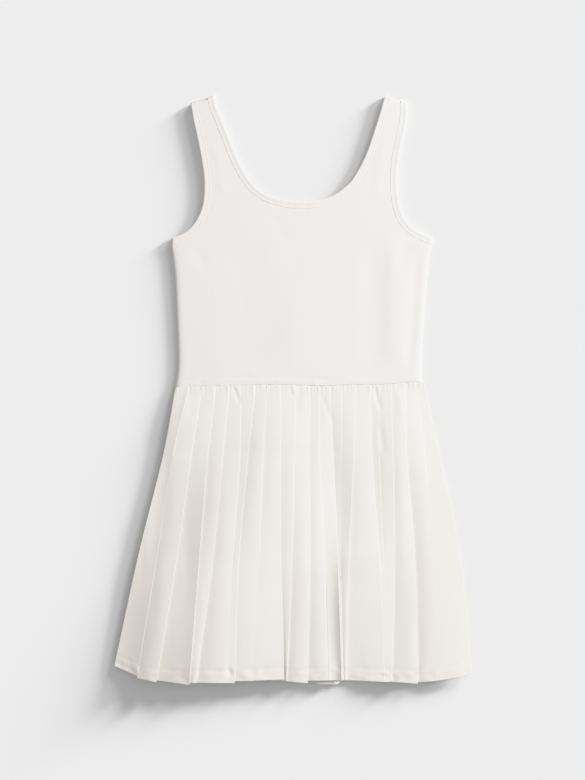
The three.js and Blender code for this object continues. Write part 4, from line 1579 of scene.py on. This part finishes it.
@dataclass
class Skirt:
    """Front and back of the pleated skirt."""

    shop: Workshop
    front_rows: int = 80
    back_rows: int = 40
    back_pleats: int = 19
    back_tuck: tuple[float, float] = (14.0, 9.5)
    back_uneven: float = 0.16
    back_uneven_turn: float = 2.3
    back_inset: float = 2.0
    back_shorter: float = 3.0
    peek_x: float = 49.0
    peek_half: float = 14.0
    peek_fade: float = 10.0
    hem_turn: float = 17.0
    underlap: float = 0.25
    flat_length: float = 444.0
    flat_width: float = 870.0
    room_below: float = 1.7
    opening: tuple[float, float] = (10.0, 120.0)
    arch: float = 1.8
    arch_reach: float = 262.0
    arch_full: float = 60.0
    hem_bulge: float = 1.4
    hem_lift: float = 5.0
    hem_lift_from: float = 150.0
    hem_lift_sides: tuple[float, float] = (-250.0, 300.0)
    hem_lift_fade: float = 90.0
    hem_groove: float = 0.3
    hem_groove_width: float = 1.1
    gathers: tuple[tuple[float, float, float], ...] = (
        (1.21, 0.0, 1.0), (0.87, 1.3, 0.8), (0.53, 0.4, 0.6),
    )
    gather_rise: float = 0.3
    gather_reach: float = 7.0
    gather_start: float = 2.5
    seam_dip: float = 0.1
    seam_dip_reach: float = 1.4
    hem_thread: Thread = Thread(length=2.2, gap=1.0, thick=0.26)

    def front_pleats(self, below: np.ndarray) -> list[dict]:
        """The front's pleats at each row.

        Args:
            below: the rows' distances below the waist seam.

        Returns:
            One entry for each pleat, as PleatedPanel.control_line reads them.
        """
        stations = SKIRT_EDGES.column("below")
        forms = np.array(FORM_STATIONS)
        pleats = []
        for edges, tucks, form in zip(PLEAT_EDGES.rows, PLEAT_TUCKS.rows, PLEAT_FORMS.rows):
            climb = np.array([WAIST_CLIMB, *form[0::2]])
            bulge = np.array([WAIST_BULGE, *form[1::2], self.hem_bulge * form[-2]])
            pleats.append({
                "edge": smooth_curve(stations, np.array(edges[:4]), below),
                "tuck": smooth_curve(stations, np.array(tucks, dtype=float), below),
                "climb": smooth_curve(forms, climb, below),
                "bulge": smooth_curve(forms, bulge, below),
                "open": ease(below, *self.opening),
                "hem_start": edges[4],
                "hem_end": edges[5],
            })
        return pleats

    def relief(self, x: np.ndarray, below: np.ndarray, drop: np.ndarray,
               above_hem: np.ndarray) -> np.ndarray:
        """Small relief that all layers of the front follow.

        Gathers, the sum of share sin(turn x + start), fade downwards from the waist seam, a
        shallow groove and puckers lie along the
        hem's stitches, and a wide arch, slow swells and pressed tucks lie between. The open pleats
        lift the hem, but for its two ends.

        Args:
            x: x of the points.
            below: distance below the waist seam.
            drop: drop of the points.
            above_hem: distance above the hem.

        Returns:
            The height to add.
        """
        gather = sum(share * np.sin(x * turn + start) for turn, start, share in self.gathers)
        near_seam = np.exp(-below / self.gather_reach) * ease(below, 0.0, self.gather_start)
        height = self.gather_rise * gather * near_seam
        height += HEM_PUCKERS.height(x, above_hem)
        height -= self.hem_groove * np.exp(-((above_hem - self.hem_turn) / self.hem_groove_width) ** 2)
        height += SKIRT_SWELLS.height(x, below)
        arch = np.sqrt(np.clip(1.0 - (x / self.arch_reach) ** 2, 0.0, 1.0))
        height += self.arch * ease(below, 0.0, self.arch_full) * arch
        from_ends = np.minimum(x - self.hem_lift_sides[0], self.hem_lift_sides[1] - x)
        lift = ease(below, self.hem_lift_from, SKIRT_LENGTH) * ease(from_ends, 0.0, self.hem_lift_fade)
        height += self.hem_lift * lift
        return height + line_folds(SKIRT_FOLDS, x, drop)

    def settled(self, height: np.ndarray, relief: np.ndarray) -> np.ndarray:
        """Adds the relief to heights over the skirt's base, never down through the back.

        A hollow h at height z takes r tanh(h / r), with r = z + the room below, which keeps the
        order of the layers.

        Args:
            height: heights over the base.
            relief: what to add.

        Returns:
            The heights with the relief.
        """
        room = np.maximum(height, 0.0) + self.room_below
        hollow = room * np.tanh(np.maximum(-relief, 0.0) / room)
        return height + np.maximum(relief, 0.0) - hollow

    def front(self) -> bpy.types.Object:
        """Makes the front panel.

        Returns:
            Its object.
        """
        panel = PleatedPanel(self.front_rows)
        below = panel.levels()
        left = SKIRT_EDGES.read("below", below, "left")
        right = SKIRT_EDGES.read("below", below, "right")
        pleats = self.front_pleats(below)
        last_climb = smooth_curve(np.array(FORM_STATIONS),
                                  np.array([WAIST_CLIMB, *LAST_CLIMB]), below)
        x, z, hem = panel.control_line(left, right, pleats, last_climb, SIDE_HEM)
        corner_x, corner_z = panel.ground(left, right, pleats, last_climb)
        spline = panel.spline(x.shape[1])
        x, z, hem = x @ spline.T, z @ spline.T, spline @ hem
        seam = WAIST_SEAM.read("x", x[0], "drop") - self.underlap
        drop = mix(seam, hem, (below / SKIRT_LENGTH)[:, None])
        above_hem = (SKIRT_LENGTH - below)[:, None] + np.zeros_like(x)
        down = below[:, None] + np.zeros_like(x)

        def place(at_x: np.ndarray, y: np.ndarray, height: np.ndarray) -> np.ndarray:
            """Adds the ground, the relief and the dip into the waist seam."""
            ground = np.stack([np.interp(*row) for row in zip(at_x, corner_x, corner_z)])
            lifted = self.settled(height, ground + self.relief(at_x, down, drop, above_hem))
            lifted -= self.seam_dip * np.exp(-(down / self.seam_dip_reach) ** 2)
            return np.stack([at_x, y, lifted + FRONT_SKIRT_BASE_Z], axis=2)

        surface, outer = panel.surface(x, z, height_of(drop), place)
        made = self.shop.piece("cloth_skirt_front", surface, self.shop.woven, Slot.PLEATED,
                               ("skirt_front",))
        sewing = self.hem_stitches("stitches_skirt_front", below, outer)
        return made

    def hem_stitches(self, name: str, below: np.ndarray, outer: np.ndarray) -> bpy.types.Object:
        """Sews the hem's turning down, along the row of the cloth that lies over its edge.

        Args:
            name: the piece's name.
            below: the rows' distances below the waist seam.
            outer: the cloth's outer side, rows by points by 3.

        Returns:
            The stitches' object.
        """
        row = int(np.abs(SKIRT_LENGTH - self.hem_turn - below).argmin())
        line = outer[row]
        across = np.gradient(line, axis=0)
        along = outer[row + 1] - outer[row - 1]
        ups = np.cross(across, along)
        ups *= (-1.0 if ups[0, 2] < 0 else 1.0) / np.linalg.norm(ups, axis=1, keepdims=True)
        return self.shop.piece(name, self.hem_thread.stitches(line, ups), self.shop.thread, Slot.PLEATED)

    def back(self) -> bpy.types.Object:
        """Makes the back panel, pleated the same way round the body, so it lies face down.

        Returns:
            Its object.
        """
        panel = PleatedPanel(self.back_rows, layer=BACK_LAYER)
        below = panel.levels()
        left = self.back_inset - SKIRT_EDGES.read("below", below, "right")
        right = -self.back_inset - SKIRT_EDGES.read("below", below, "left")
        pleats = []
        for index in range(1, self.back_pleats + 1):
            moved = self.back_uneven * math.sin(self.back_uneven_turn * index)
            share = (index + moved) / (self.back_pleats + 1)
            pleats.append({
                "edge": mix(left, right, share), "tuck": mix(*self.back_tuck, below / SKIRT_LENGTH),
                "climb": np.zeros_like(left), "bulge": np.zeros_like(left),
                "open": np.zeros_like(left), "hem_start": 0.0, "hem_end": 0.0,
            })
        x, z, _ = panel.control_line(left, right, pleats, np.zeros_like(left),
                                     {"left": 0.0, "valley": 0.0, "right": 0.0})
        spline = panel.spline(x.shape[1])
        x, z = x @ spline.T, z @ spline.T
        seam = WAIST_SEAM.read("x", -x[0], "drop") + SEAM_GAP / 2.0
        away = np.abs(-x[-1] - self.peek_x)
        line = HEM.read("x", -x[-1], "drop") - self.back_shorter
        hem = mix(line, DRESS_LENGTH, 1.0 - ease(away, self.peek_half, self.peek_half + self.peek_fade))
        drop = mix(seam, hem, (below / SKIRT_LENGTH)[:, None])

        def place(at_x: np.ndarray, y: np.ndarray, height: np.ndarray) -> np.ndarray:
            """Turns the panel face down."""
            return np.stack([-at_x, y, BACK_SKIRT_BASE_Z - height], axis=2)

        surface, outer = panel.surface(x, z, height_of(drop), place)
        made = self.shop.piece("cloth_skirt_back", surface, self.shop.woven, Slot.PLEATED,
                               ("skirt_back",))
        sewing = self.hem_stitches("stitches_skirt_back", below, outer)
        return made


@dataclass
class Studio:
    """Floor, light and camera.

    A low light has the x and y that it comes from, its elevation and softness in degrees and its
    strength. A highlight is a tone and the tone that it is shown as.
    """

    photo_height: float = 1.1154
    camera_far: float = 3.5
    camera_x: float = -0.0003
    sensor: float = 36.0
    floor_size: float = 6.0
    key_from: tuple[float, float] = (0.93, 0.36)
    key_elevation: float = 31.0
    key_distance: float = 4.0
    key_size: float = 1.3
    key_power: float = 168.0
    low_lights: tuple[tuple[float, float, float, float, float], ...] = (
        (0.86, 0.51, 7.4, 11.0, 8.5), (0.6, 0.8, 13.0, 15.0, 2.7),
    )
    sky: float = 0.46
    highlights: tuple[tuple[float, float], ...] = (
        (0.5, 0.5), (0.84, 0.84), (1.0, 0.905), (1.5, 0.935),
    )
    brightest: float = 2.0

    def camera(self) -> None:
        """Looks straight down, framed as the photograph."""
        data = bpy.data.cameras.new("camera")
        data.sensor_fit = "VERTICAL"
        data.sensor_height = self.sensor
        data.lens = self.sensor * self.camera_far / self.photo_height
        made = bpy.data.objects.new("camera", data)
        made.location = (self.camera_x, 0.0, self.camera_far)
        bpy.context.scene.collection.objects.link(made)
        bpy.context.scene.camera = made

    def floor(self) -> bpy.types.Object:
        """Lays the floor.

        Returns:
            Its object.
        """
        half = self.floor_size / 2.0
        mesh = bpy.data.meshes.new("floor")
        mesh.from_pydata([(-half, -half, 0), (half, -half, 0), (half, half, 0), (-half, half, 0)],
                         [], [(0, 1, 2, 3)])
        mesh.materials.append(FloorFinish().material())
        made = bpy.data.objects.new("floor", mesh)
        bpy.context.scene.collection.objects.link(made)
        return made

    def light(self, data: bpy.types.Light, towards: tuple[float, float], elevation: float,
              distance: float, receivers: Sequence[bpy.types.Object]) -> None:
        """Places a light that only some objects receive, turned to the middle of the dress.

        Args:
            data: the light.
            towards: x and y of the direction that it comes from.
            elevation: its angle above the floor in degrees.
            distance: how far off it stands.
            receivers: the objects that it lights; all of them cast its shadows.
        """
        made = bpy.data.objects.new(data.name, data)
        angle = math.radians(elevation)
        turn = math.atan2(towards[1], towards[0])
        made.location = (distance * math.cos(angle) * math.cos(turn),
                         distance * math.cos(angle) * math.sin(turn), distance * math.sin(angle))
        made.rotation_euler = (math.pi / 2.0 - angle, 0.0, turn + math.pi / 2.0)
        bpy.context.scene.collection.objects.link(made)
        lit = bpy.data.collections.new(f"{data.name}_receivers")
        for receiver in receivers:
            lit.objects.link(receiver)
        made.light_linking.receiver_collection = lit

    def soften_highlights(self, view: bpy.types.ColorManagedViewSettings) -> None:
        """Bends the brightest tones over, as film does, and leaves the others as they are.

        Args:
            view: the scene's view settings.
        """
        view.use_curve_mapping = True
        mapping = view.curve_mapping
        mapping.clip_max_x = self.brightest
        points = mapping.curves[3].points
        points[-1].location = (self.brightest, self.highlights[-1][1] + 0.01)
        for tone, shown in self.highlights:
            points.new(tone, shown)
        mapping.update()

    def build(self, pieces: Sequence[bpy.types.Object]) -> None:
        """Sets camera, floor, lights and how the picture is shown.

        Args:
            pieces: the pieces of the dress.
        """
        self.camera()
        floor = self.floor()
        key = bpy.data.lights.new("key", "AREA")
        key.shape = "DISK"
        key.size = self.key_size
        key.energy = self.key_power
        self.light(key, self.key_from, self.key_elevation, self.key_distance, pieces)
        for from_x, from_y, elevation, softness, strength in self.low_lights:
            low = bpy.data.lights.new("low", "SUN")
            low.energy = strength
            low.angle = math.radians(softness)
            self.light(low, (from_x, from_y), elevation, self.key_distance, [floor])
        scene = bpy.context.scene
        world = bpy.data.worlds.new("studio")
        world.use_nodes = True
        world.node_tree.nodes["Background"].inputs["Color"].default_value = (1.0, 1.0, 1.0, 1.0)
        world.node_tree.nodes["Background"].inputs["Strength"].default_value = self.sky
        scene.world = world
        scene.view_settings.view_transform = "Standard"
        self.soften_highlights(scene.view_settings)


def main() -> None:
    """Builds the dress and the studio round it."""
    shop = Workshop()
    Bodice(shop).build()
    shoulder = math.hypot(SHOULDER_RUN, SHOULDER_FALL)
    left = np.array([-SHOULDER_RUN, -SHOULDER_FALL]) / shoulder
    right = np.array([SHOULDER_RUN, -SHOULDER_FALL]) / shoulder
    down = np.array([0.0, -1.0])
    Binding(shop, "neck_binding", neck_curve(0.0), neck_curve(BACK_NECK_DEEPER), 1.0,
            left, right, steps=320).build()
    for side, shoulder_run in (("left", left), ("right", right)):
        curve = armhole_curve(side)
        Binding(shop, f"armhole_binding_{side}", curve, curve, -1.0 if side == "left" else 1.0,
                -shoulder_run, down).build()
    skirt = Skirt(shop)
    skirt.back()
    skirt.front()
    Studio().build(shop.pieces)


if __name__ == "__main__":
    main()
